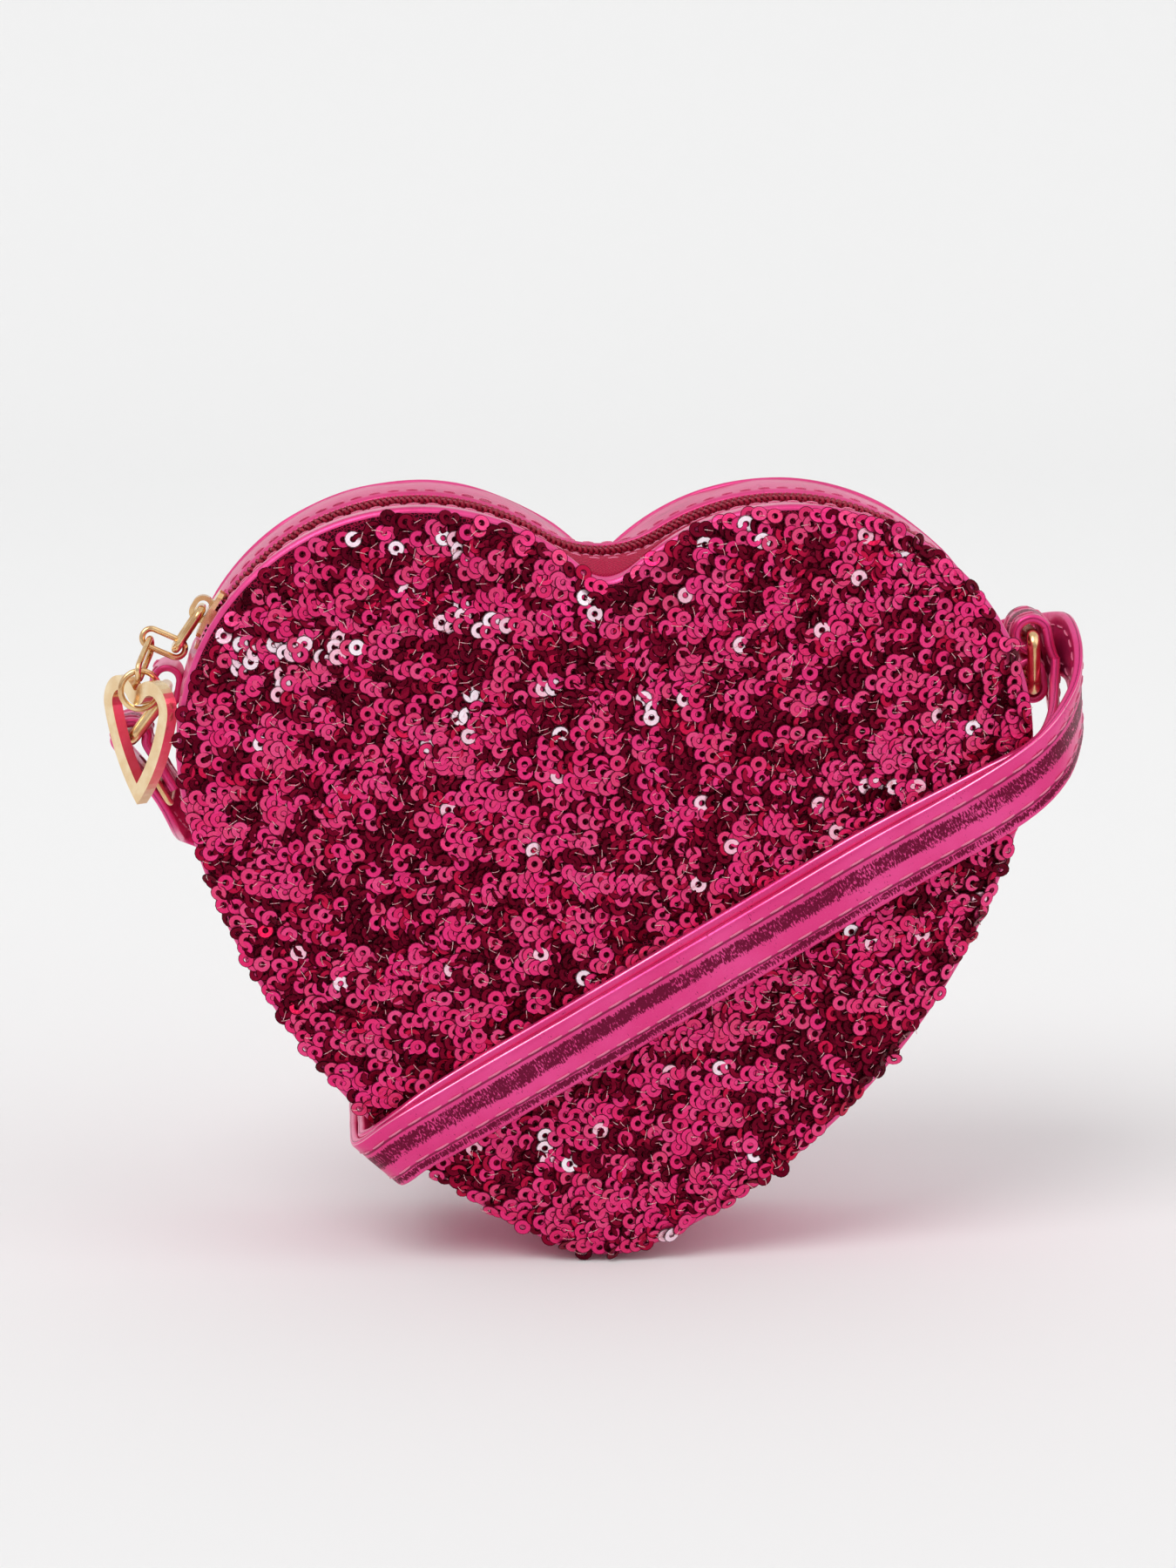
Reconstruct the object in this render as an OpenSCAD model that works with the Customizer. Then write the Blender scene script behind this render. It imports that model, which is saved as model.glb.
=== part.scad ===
// Heart shaped zip purse with a sequin front, a wound shoulder strap and a charm on a chain.
// Origin: midway between the two strap rings. +X right, -Y towards the sequin front, +Z up.

/* [Bag] */
// Radius of each lobe of the heart
lobe_r = 43.5; // [40:0.5:46]
// Half of the distance between the lobe centres
lobe_x = 33.5; // [31:0.5:36]
// Height of the lobe centres above the origin
lobe_z = -6; // [-9:0.5:-3]
// Radius of the long side curves
side_r = 122; // [112:1:135]
// Angle below level at which a lobe passes into its side curve
side_drop = 13.3; // [10:0.1:16]
// Radius of the point at the bottom
tip_r = 21.5; // [16:0.5:26]
// Radius of the dip between the lobes at the panel edges
dip_r = 5.5; // [4:0.5:8]
// Depth of the bag between the outer edges of its two panels
bag_depth = 42; // [36:1:50]
// How far each panel stands proud at its middle
panel_crown = 1.4; // [0.8:0.1:2.5]
// Thickness of the board and foam in each panel
padding_t = 1.6; // [1.2:0.1:2.4]
// Thickness of the sequin cloth with its sequins
sequin_t = 1.3; // [0.9:0.1:1.8]
// Thickness of the back cover
cover_t = 0.8; // [0.6:0.1:1.2]
// Thickness of the gusset and of the zip facings
gusset_t = 1.4; // [1:0.1:2]
// How far the gusset stands proud halfway between the panels
gusset_crown = 0.8; // [0.2:0.1:1.6]
// Thickness of the lining
lining_t = 0.5; // [0.4:0.1:0.8]

/* [Zip] */
// Radius of the dip along the zip line, which bridges the dip of the panels
zip_dip_r = 20; // [12:1:26]
// How far the zip line lies inside the panel outline
zip_sink = 1.6; // [1.2:0.1:2.2]
// Width of the gap between the two rows
row_gap = 1.4; // [1.2:0.1:1.8]
// Width of each row of teeth
row_w = 2; // [1.6:0.1:2.4]
// Height of the rows above their tape
row_h = 1.3; // [1:0.1:1.6]
// Distance from tooth to tooth
tooth_pitch = 2; // [1.6:0.1:3]
// Depth of the notch between two teeth
tooth_notch = 0.4; // [0.25:0.05:0.5]
// Thickness of the tape
tape_t = 0.5; // [0.4:0.05:0.7]
// Width of tape that shows between a row and its facing
tape_show = 6; // [4:0.5:8]
// Width of tape that is sewn under the facing
tape_lap = 2; // [1:0.5:4]
// Length of the slider
slider_l = 9; // [7:0.5:11]
// Width of the slider
slider_w = 7.6; // [6.8:0.2:9]
// Thickness of the slider's plates
slider_t = 0.9; // [0.7:0.1:1.2]
// Thickness of the post that joins the plates
post_t = 0.8; // [0.6:0.1:0.9]
// Angle of the slider on the left lobe with the zip closed
slider_angle = 150; // [146:1:154]

/* [Pull chain] */
// Wire diameter of the pull loop
pull_wire = 1.6; // [1.3:0.1:1.8]
// Length of the pull loop between its bars
pull_l = 8.6; // [7:0.2:10]
// Width of the pull loop between its sides
pull_w = 6.4; // [5.6:0.2:8]
// Wire diameter of the chain links and the jump ring
link_wire = 1.1; // [0.9:0.1:1.2]
// Length of the upper link between its end wires
upper_l = 8.25; // [7.8:0.05:8.8]
// Length of the lower link between its end wires
lower_l = 11; // [10.2:0.2:11.8]
// Half width of both links between their wires
link_r = 1.65; // [1.5:0.05:1.9]
// Radius of the jump ring to the middle of its wire
jump_r = 3.5; // [3.2:0.1:4]
// Running gap between a link and the wire that it hangs on
link_gap = 0.3; // [0.25:0.05:0.4]

/* [Heart charm] */
// Width of the charm
charm_w = 19.6; // [17:0.2:22]
// Thickness of the charm
charm_t = 2.2; // [1.6:0.1:2.8]
// Width of the charm's band
charm_band = 2.6; // [2:0.1:3.2]
// Angle by which the charm has turned away from the front
charm_turn = 52; // [46:1:56]

/* [Strap and rings] */
// Width of the strap
strap_w = 12; // [10:0.5:13]
// Thickness of the strap
strap_t = 1.9; // [1.6:0.1:2.2]
// Wire diameter of the strap rings
ring_wire = 2.4; // [2:0.1:2.6]
// Play between the strap and each side of its ring
ring_play = 0.4; // [0.3:0.1:0.8]
// Length of the strap rings between their bars
ring_l = 10; // [9:0.5:12]
// Slope of the left ring from its tab, measured from +X
ring_slope_left = 232; // [224:1:240]
// Slope of the right ring from its tab, measured from +X
ring_slope_right = 92; // [88:1:96]
// Distance of the tabs and rings behind the middle of the bag
ring_y = 5; // [4:0.5:6]
// Thickness of the ring tabs
tab_t = 1.2; // [0.9:0.1:1.5]
// Height of the eye of each ring tab
tab_eye_h = 6.2; // [5:0.2:8]

/* [Hidden] */

// Colours
pink = [0.80, 0.14, 0.40];
sequin_pink = [0.82, 0.12, 0.38];
crimson = [0.70, 0.06, 0.20];
lining_red = [0.45, 0.05, 0.16];
gold = [0.85, 0.66, 0.40];

// Steps along the arcs of the heart
dip_steps = 5;
lobe_top_steps = 16;
lobe_low_steps = 5;
side_steps = 11;
tip_steps = 5;
wire_facets = 32;
hinge_facets = 96;

// Angle on each lobe at which the zip ends and the gusset begins
tab_angle = 20;
reach = lobe_x + lobe_r;
edge_y = bag_depth / 2;
inner_y = edge_y - padding_t;
side_cx = lobe_x - (side_r - lobe_r) * cos(side_drop);
side_cz = lobe_z + (side_r - lobe_r) * sin(side_drop);
tip_cz = side_cz - sqrt(pow(side_r - tip_r, 2) - pow(side_cx, 2));
tip_turn = atan2(tip_cz - side_cz, -side_cx);

function dip_cz(dip) = lobe_z + sqrt(pow(lobe_r + dip, 2) - pow(lobe_x, 2));
function dip_turn(dip) = atan2(lobe_z - dip_cz(dip), lobe_x);

// Points of an arc in the plane of the heart, without its last point
function arc(cx, cz, r, from, to, steps) =
    [for (i = [0 : steps - 1]) let (a = from + (to - from) * i / steps) [cx + r * cos(a), cz + r * sin(a)]];

// Right half of the zip path, from the dip to the tab, and the right half below it, to the point
function top_half(inset, dip) = concat(
    arc(0, dip_cz(dip), dip + inset, -90, dip_turn(dip), dip_steps),
    arc(lobe_x, lobe_z, lobe_r - inset, dip_turn(dip) + 180, tab_angle, lobe_top_steps));
function low_half(inset) = concat(
    arc(lobe_x, lobe_z, lobe_r - inset, tab_angle, -side_drop, lobe_low_steps),
    arc(side_cx, side_cz, side_r - inset, -side_drop, tip_turn, side_steps),
    arc(0, tip_cz, tip_r - inset, tip_turn, -90, tip_steps),
    [[0, tip_cz - tip_r + inset]]);
function tab_point(inset) = [lobe_x + (lobe_r - inset) * cos(tab_angle),
    lobe_z + (lobe_r - inset) * sin(tab_angle)];
function mirrored(points) = [for (i = [len(points) - 1 : -1 : 0]) [-points[i][0], points[i][1]]];
function without_first(points) = [for (i = [1 : len(points) - 1]) points[i]];
function without_last(points) = [for (i = [0 : len(points) - 2]) points[i]];

// The whole outline, the zip path from the left tab to the right one, and the path below it
function heart(inset, dip = dip_r) = concat(top_half(inset, dip), low_half(inset),
    without_first(mirrored(low_half(inset))), without_last(mirrored(top_half(inset, dip))));
function top_path(inset, dip) = let (half = concat(top_half(inset, dip), [tab_point(inset)]))
    concat(mirrored(half), without_first(half));
function low_path(inset) = let (half = low_half(inset)) concat(half, without_first(mirrored(half)));

function at_depth(points, y) = [for (p = points) [p[0], y, p[1]]];
function mean_point(points) = [for (k = [0 : 2]) let (column = [for (p = points) p[k]])
    column * [for (c = column) 1] / len(column)];
function unit(v) = v / norm(v);

// Closed solid through a row of closed sections of equal length
module skin(sections) {
    n = len(sections[0]);
    last = len(sections) - 1;
    points = concat([for (s = sections) each s], [mean_point(sections[0]), mean_point(sections[last])]);
    start_cap = n * (last + 1);
    walls = [for (j = [0 : last - 1]) for (i = [0 : n - 1]) let (k = (i + 1) % n)
        each [[j * n + i, j * n + k, (j + 1) * n + k], [j * n + i, (j + 1) * n + k, (j + 1) * n + i]]];
    caps = [for (i = [0 : n - 1]) let (k = (i + 1) % n)
        each [[k, i, start_cap], [last * n + i, last * n + k, start_cap + 1]]];
    polyhedron(points, concat(walls, caps));
}

// Strip along a path: its corner lines are given in order round its section
module strip(lines) {
    skin([for (i = [0 : len(lines[0]) - 1]) [for (line = lines) line[i]]]);
}

// Straight extrusion across the bag of an outline drawn in the plane of the heart
module across(y_from, y_to) {
    translate([0, y_to, 0])
        rotate([90, 0, 0])
            linear_extrude(y_to - y_from)
                children();
}

// Places a piece with its local X along one direction and its local Y near another
module placed(at, along, beside) {
    ex = unit(along);
    ez = unit(cross(ex, beside));
    ey = cross(ez, ex);
    multmatrix([[ex[0], ey[0], ez[0], at[0]], [ex[1], ey[1], ez[1], at[1]],
        [ex[2], ey[2], ez[2], at[2]], [0, 0, 0, 1]])
        children();
}

// Panels
crown_inset_share = [0, 0.1, 0.3, 0.6, 0.92];
crown_rise_share = [0, 0.45, 0.8, 0.96, 1];
crown_reach_share = 0.62;
dip_growth_share = 0.2;
panel_reach = lobe_r * crown_reach_share;
sequin_edge = 1.2;
cloth_lay = 0.02;

function panel_inset(i, edge) = max(edge, crown_inset_share[i] * panel_reach);
function panel_rise(i, edge) = i > 0 ? crown_rise_share[i]
    : crown_rise_share[1] * edge / (crown_inset_share[1] * panel_reach);
function panel_ring(i, edge, y) = at_depth(heart(panel_inset(i, edge),
    dip_r + panel_inset(i, edge) * dip_growth_share), -(y + panel_rise(i, edge) * panel_crown));

module padding_solid() {
    crown_rings = [for (i = [0 : len(crown_inset_share) - 1]) panel_ring(i, 0, edge_y)];
    skin(concat([at_depth(heart(0), -inner_y)], crown_rings));
}

// Skin of one thickness that lies on the crowned face of a panel
module panel_skin(edge, thickness) {
    count = len(crown_inset_share);
    under = [for (i = [count - 1 : -1 : 0]) panel_ring(i, edge, edge_y + cloth_lay)];
    over = [for (i = [0 : count - 1]) panel_ring(i, edge, edge_y + thickness)];
    skin(concat(under, over));
}

module front_padding() {
    color(pink) padding_solid();
}

module sequin_cloth() {
    color(sequin_pink) panel_skin(sequin_edge, sequin_t);
}

module back_padding() {
    color(pink) mirror([0, 1, 0]) padding_solid();
}

module back_cover() {
    color(pink) mirror([0, 1, 0]) panel_skin(0, cover_t);
}

// Gusset below the zip, in five lines across its outer face
gusset_lines_share = [-1, -0.6, 0, 0.6, 1];

module gusset() {
    outer = [for (s = gusset_lines_share)
        at_depth(low_path(-gusset_crown * (1 - s * s)), s * inner_y)];
    inner = [for (s = [1, -1]) at_depth(low_path(gusset_t), s * inner_y)];
    color(pink) strip(concat(outer, inner));
}

lining_inset = gusset_t + lining_t;

module lining_sheet() {
    across(-inner_y, -inner_y + lining_t) polygon(heart(lining_inset));
}

module lining_front() {
    color(lining_red) lining_sheet();
}

module lining_back() {
    color(lining_red) mirror([0, 1, 0]) lining_sheet();
}

module lining_wall() {
    reach = inner_y;
    color(lining_red) across(-reach, reach)
        polygon(concat(low_path(gusset_t), [for (i = [len(low_path(0)) - 1 : -1 : 0]) low_path(lining_inset)[i]]));
}

// Zip
facing_y = row_gap / 2 + row_w + tape_show;
facing_edge_share = 0.6;
facing_edge_t = gusset_t * facing_edge_share;
hem_gap = 0.25;
tape_share = tape_lap / (inner_y - facing_y);

function mix(a, b, share) = [for (i = [0 : len(a) - 1]) a[i] + (b[i] - a[i]) * share];
function facing_under(depth) = mix(at_depth(top_path(zip_sink + depth, zip_dip_r), -facing_y),
    at_depth(top_path(gusset_t + depth, dip_r), -inner_y), tape_share);

module facing_solid() {
    strip([at_depth(top_path(0, dip_r), -inner_y),
        at_depth(top_path(zip_sink - facing_edge_t, zip_dip_r), -facing_y),
        at_depth(top_path(zip_sink, zip_dip_r), -facing_y),
        at_depth(top_path(gusset_t, dip_r), -inner_y)]);
}

module tape_solid() {
    strip([facing_under(hem_gap),
        at_depth(top_path(zip_sink, zip_dip_r), -facing_y),
        at_depth(top_path(zip_sink, zip_dip_r), -row_gap / 2),
        at_depth(top_path(zip_sink + tape_t, zip_dip_r), -row_gap / 2),
        at_depth(top_path(zip_sink + tape_t, zip_dip_r), -facing_y),
        facing_under(hem_gap + tape_t)]);
}

// Arc with teeth: each tooth has a crest and a notch
tooth_step_share = [0, 0.5, 0.6, 0.9];
tooth_notch_share = [0, 0, 1, 1];

function toothed_arc(cx, cz, r, from, to, notch) =
    let (count = round(abs(to - from) * PI / 180 * r / tooth_pitch))
    [for (i = [0 : count - 1]) for (k = [0 : 3])
        let (a = from + (to - from) * (i + tooth_step_share[k]) / count,
            reach = r + notch * tooth_notch_share[k])
        [cx + reach * cos(a), cz + reach * sin(a)]];
function toothed_half(inset) = concat(
    toothed_arc(0, dip_cz(zip_dip_r), zip_dip_r + inset, -90, dip_turn(zip_dip_r), tooth_notch),
    toothed_arc(lobe_x, lobe_z, lobe_r - inset, dip_turn(zip_dip_r) + 180, tab_angle, -tooth_notch),
    [tab_point(inset)]);

module coil_solid() {
    half = toothed_half(zip_sink - row_h);
    seat = top_path(zip_sink, zip_dip_r);
    across(-row_gap / 2 - row_w, -row_gap / 2)
        polygon(concat(mirrored(half), without_first(half), [for (i = [len(seat) - 1 : -1 : 0]) seat[i]]));
}

module zip_facing_front() {
    color(pink) facing_solid();
}

module zip_facing_back() {
    color(pink) mirror([0, 1, 0]) facing_solid();
}

module zip_tape_front() {
    color(crimson) tape_solid();
}

module zip_tape_back() {
    color(crimson) mirror([0, 1, 0]) tape_solid();
}

module zip_coil_front() {
    color(crimson) coil_solid();
}

module zip_coil_back() {
    color(crimson) mirror([0, 1, 0]) coil_solid();
}

// Part of a ring round the left lobe's centre line, between two radii, depths and angles
module lobe_sector(r_from, r_to, half_y, from, to) {
    translate([-lobe_x, 0, lobe_z])
        rotate([90, 0, 0])
            rotate([0, 0, from])
                rotate_extrude(angle = to - from, $fn = hinge_facets)
                    translate([r_from, -half_y])
                        square([r_to - r_from, 2 * half_y]);
}

row_top_r = lobe_r - zip_sink + row_h;
row_seat_r = lobe_r - zip_sink;
stop_cap = 0.6;
stop_turn = 1.2;
stop_angle = 180 - tab_angle - stop_turn;

module zip_stop() {
    lobe_sector(row_seat_r, row_top_r + stop_cap, row_gap / 2, stop_angle - stop_turn, stop_angle);
    lobe_sector(row_top_r, row_top_r + stop_cap, row_gap / 2 + row_w, stop_angle - stop_turn, stop_angle);
}

module zip_stops() {
    color(gold) zip_stop();
    color(gold) mirror([1, 0, 0]) zip_stop();
}

// Slider: two curved plates joined by a post, with side flanges and a bail on top
slide_gap = 0.3;
slider_half_turn = slider_l / 2 / row_seat_r * 180 / PI;
plate_r = row_top_r + slide_gap;
plate_top_r = plate_r + slider_t;
under_r = row_seat_r - tape_t - slide_gap;
flange_y = row_gap / 2 + row_w + slide_gap;
flange_t = slider_w / 2 - flange_y;
bail_gap = 0.3;
bail_t = slider_t;
bail_w = 1.8;
bail_h = pull_wire + 2 * bail_gap;
bail_play = 1.2;
pivot_r = plate_top_r + bail_h / 2;
taper_share = 0.22;
post_share = 0.3;

// Outline of the slider seen from outside, wide at its mouth end
module slider_outline() {
    half = slider_l / 2;
    wide = slider_w / 2;
    tail = wide * (1 - taper_share);
    polygon([[-half, -wide + flange_t], [-half + flange_t, -wide], [half * post_share, -wide],
        [half - flange_t, -tail], [half, -tail + flange_t], [half, tail - flange_t],
        [half - flange_t, tail], [half * post_share, wide], [-half + flange_t, wide],
        [-half, wide - flange_t]]);
}

module zip_slider_body() {
    from = slider_angle - slider_half_turn;
    to = slider_angle + slider_half_turn;
    lobe_sector(plate_r, plate_top_r, slider_w / 2, from, to);
    lobe_sector(under_r - slider_t, under_r, slider_w / 2, from, to);
}

module zip_slider() {
    post_from = slider_angle - slider_half_turn * (1 - post_share);
    color(gold) union() {
        intersection() {
            zip_slider_body();
            translate([-lobe_x, 0, lobe_z])
                rotate([0, 90 - slider_angle, 0])
                    linear_extrude(pivot_r)
                        slider_outline();
        }
        lobe_sector(under_r - slider_t, plate_top_r, post_t / 2, post_from - slider_half_turn * post_share,
            post_from);
        for (side = [-1, 1])
            translate([0, side * (flange_y + flange_t / 2), 0])
                lobe_sector(row_seat_r + slide_gap, plate_top_r, flange_t / 2,
                    slider_angle - slider_half_turn * post_share, slider_angle + slider_half_turn * post_share);
        placed(pivot, heading(slider_angle + 90), [0, 1, 0])
            rotate([90, 0, 0])
                translate([0, 0, -bail_w / 2])
                    linear_extrude(bail_w)
                        difference() {
                            stadium(bail_play, bail_h / 2 + bail_t);
                            stadium(bail_play, bail_h / 2);
                        }
    }
}

module stadium(between, r) {
    for (side = [-1, 1])
        translate([side * between / 2, 0])
            circle(r, $fn = hinge_facets);
    square([between, 2 * r], center = true);
}

function heading(a) = [cos(a), 0, sin(a)];
pivot = [-lobe_x, 0, lobe_z] + pivot_r * heading(slider_angle);

// Closed frame of round wire in its local XY plane, with its near bar on the local Y axis
module wire_frame(l, w, wire, corner) {
    for (x = [0, l])
        translate([x, corner - w / 2, 0])
            rotate([-90, 0, 0])
                cylinder(h = w - 2 * corner, d = wire, $fn = wire_facets);
    for (side = [-1, 1])
        translate([corner, side * w / 2, 0])
            rotate([0, 90, 0])
                cylinder(h = l - 2 * corner, d = wire, $fn = wire_facets);
    for (place = [[l - corner, w / 2 - corner, 0], [corner, w / 2 - corner, 90],
        [corner, corner - w / 2, 180], [l - corner, corner - w / 2, 270]])
        translate([place[0], place[1], 0])
            rotate([0, 0, place[2]])
                rotate_extrude(angle = 90, $fn = hinge_facets)
                    translate([corner, 0])
                        circle(d = wire, $fn = wire_facets);
}

// Chain: each piece turns about the end wire that it hangs on
pull_corner = pull_wire;
pull_lean = 86;
pull_heading = heading(slider_angle + pull_lean);
pull_end = pivot + pull_l * pull_heading;
upper_turn = [-0.909, -0.066, 0.412];
upper_roll = 10.5;
upper_play = 0.1;
upper_aside = 0.9;
hook_turn = 103;
lower_turn = [-0.195, -0.896, -0.398];
lower_roll = 13.9;
jump_yaw = 10.7;
hook_step = link_wire + link_gap;
upper_near = (pull_wire + link_wire) / 2 + link_gap + upper_play;
upper_dir = unit(upper_turn);
upper_side = turned(unit(cross(upper_dir, [0, 1, 0])), upper_dir, upper_roll);
upper_face = cross(upper_dir, upper_side);
upper_at = pull_end - [0, upper_aside, 0];
hook_dir = turned(upper_dir, upper_face, hook_turn);
hook_wire = cross(upper_face, hook_dir);
lower_at = upper_at + (upper_l - upper_near - link_r) * upper_dir + link_r * hook_dir;
lower_dir = unit(lower_turn);
lower_side = turned(unit(cross(lower_dir, hook_wire)), lower_dir, lower_roll);
lower_end = lower_at + (lower_l - hook_step) * lower_dir;
jump_centre = lower_end - hook_step * lower_dir - [0, 0, jump_r];
jump_bottom = jump_centre - [0, 0, jump_r];

// A direction turned about an axis at right angles to it
function turned(v, about, a) = cos(a) * v + sin(a) * cross(about, v);

// Oval link in its local XY plane; the wire that it hangs on is at the origin
module oval_link(l, near) {
    for (side = [-1, 1])
        translate([link_r - near, side * link_r, 0])
            rotate([0, 90, 0])
                cylinder(h = l - 2 * link_r, d = link_wire, $fn = wire_facets);
    for (end = [[link_r - near, 90], [l - near - link_r, -90]])
        translate([end[0], 0, 0])
            rotate([0, 0, end[1]])
                rotate_extrude(angle = 180, $fn = hinge_facets)
                    translate([link_r, 0])
                        circle(d = link_wire, $fn = wire_facets);
}

module pull_loop() {
    color(gold) placed(pivot, pull_heading, [0, 1, 0]) wire_frame(pull_l, pull_w, pull_wire, pull_corner);
}

module chain_link_upper() {
    color(gold) placed(upper_at, upper_dir, upper_side) oval_link(upper_l, upper_near);
}

module chain_link_lower() {
    color(gold) placed(lower_at, lower_dir, lower_side) oval_link(lower_l, hook_step);
}

module jump_ring() {
    color(gold)
        translate(jump_centre)
            rotate([90, 0, jump_yaw])
                rotate_extrude($fn = hinge_facets)
                    translate([jump_r, 0])
                        circle(d = link_wire, $fn = wire_facets);
}

// Charm: a flat heart shaped band, drawn with the jump ring's lowest wire at the origin
charm_lobe_share = 0.265;
charm_side_share = 1.9;
charm_dip_share = 0.03;
charm_drop = 15;
charm_steps = 14;
charm_lobe_r = charm_w * charm_lobe_share;
charm_lobe_x = charm_w / 2 - charm_lobe_r;
charm_dip_r = charm_w * charm_dip_share;
charm_dip_rise = sqrt(pow(charm_lobe_r + charm_dip_r, 2) - pow(charm_lobe_x, 2));
charm_lobe_z = link_wire / 2 + link_gap + charm_band + charm_dip_r - charm_dip_rise;
charm_side_r = charm_w * charm_side_share;
charm_side_x = charm_lobe_x - (charm_side_r - charm_lobe_r) * cos(charm_drop);
charm_side_z = charm_lobe_z + (charm_side_r - charm_lobe_r) * sin(charm_drop);

function charm_half(inset) =
    let (dip_to = atan2(-charm_dip_rise, charm_lobe_x), side_to = atan2(
        -sqrt(pow(charm_side_r - inset, 2) - pow(charm_side_x, 2)), -charm_side_x))
    concat(arc(0, charm_lobe_z + charm_dip_rise, charm_dip_r + inset, -90, dip_to, dip_steps),
        arc(charm_lobe_x, charm_lobe_z, charm_lobe_r - inset, dip_to + 180, -charm_drop, charm_steps),
        arc(charm_side_x, charm_side_z, charm_side_r - inset, -charm_drop, side_to, charm_steps),
        [[0, charm_side_z - sqrt(pow(charm_side_r - inset, 2) - pow(charm_side_x, 2))]]);
function charm_outline(inset) =
    concat(charm_half(inset), without_last(without_first(mirrored(charm_half(inset)))));

module heart_charm() {
    color(gold)
        translate(jump_bottom)
            rotate([90, 0, -charm_turn])
                translate([0, 0, -charm_t / 2])
                    linear_extrude(charm_t)
                        difference() {
                            polygon(charm_outline(0));
                            polygon(charm_outline(charm_band));
                        }
}

// Ring tabs, drawn for the right side: an eye of folded leather on the gusset
tab_turn = 10;
tab_sink = 0.3;
ring_gap = 0.5;
ring_w = strap_w + 2 * ring_play + ring_wire;
ring_corner_share = 0.85;
ring_corner = ring_wire * ring_corner_share;
tab_w = ring_w - 2 * ring_corner - ring_gap;
eye_r = ring_wire / 2 + ring_gap;
eye_between = tab_eye_h - 2 * eye_r;
tab_centre_r = lobe_r + gusset_crown - tab_sink + tab_t + eye_r;
tab_centre = [lobe_x, ring_y, lobe_z] + tab_centre_r * heading(tab_turn);
bar_centre = tab_centre - eye_between / 2 * heading(tab_turn + 90);

module ring_tab() {
    color(pink) placed(tab_centre, heading(tab_turn + 90), [0, 1, 0])
        rotate([90, 0, 0])
            translate([0, 0, -tab_w / 2])
                linear_extrude(tab_w)
                    difference() {
                        stadium(eye_between, eye_r + tab_t);
                        stadium(eye_between, eye_r);
                    }
}

module ring_tab_right() {
    ring_tab();
}

module ring_tab_left() {
    mirror([1, 0, 0]) ring_tab();
}

right_bar = bar_centre;
left_bar = [-bar_centre[0], ring_y, bar_centre[2]];
right_bow = right_bar + ring_l * heading(ring_slope_right);
left_bow = left_bar + ring_l * heading(ring_slope_left);

module strap_ring_right() {
    color(gold) placed(right_bar, heading(ring_slope_right), [0, 1, 0])
        wire_frame(ring_l, ring_w, ring_wire, ring_corner);
}

module strap_ring_left() {
    color(gold) placed(left_bar, heading(ring_slope_left), [0, 1, 0])
        wire_frame(ring_l, ring_w, ring_wire, ring_corner);
}

// Strap: a flat band round both ring bows, wound twice over the front and the back
front_rise = panel_crown + sequin_t;
back_rise = panel_crown + cover_t;
lay_gap = 0.3;
loop_play = 0.8;
loop_r = ring_wire / 2 + loop_play + strap_t / 2;
layer_step = strap_t + lay_gap;

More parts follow.
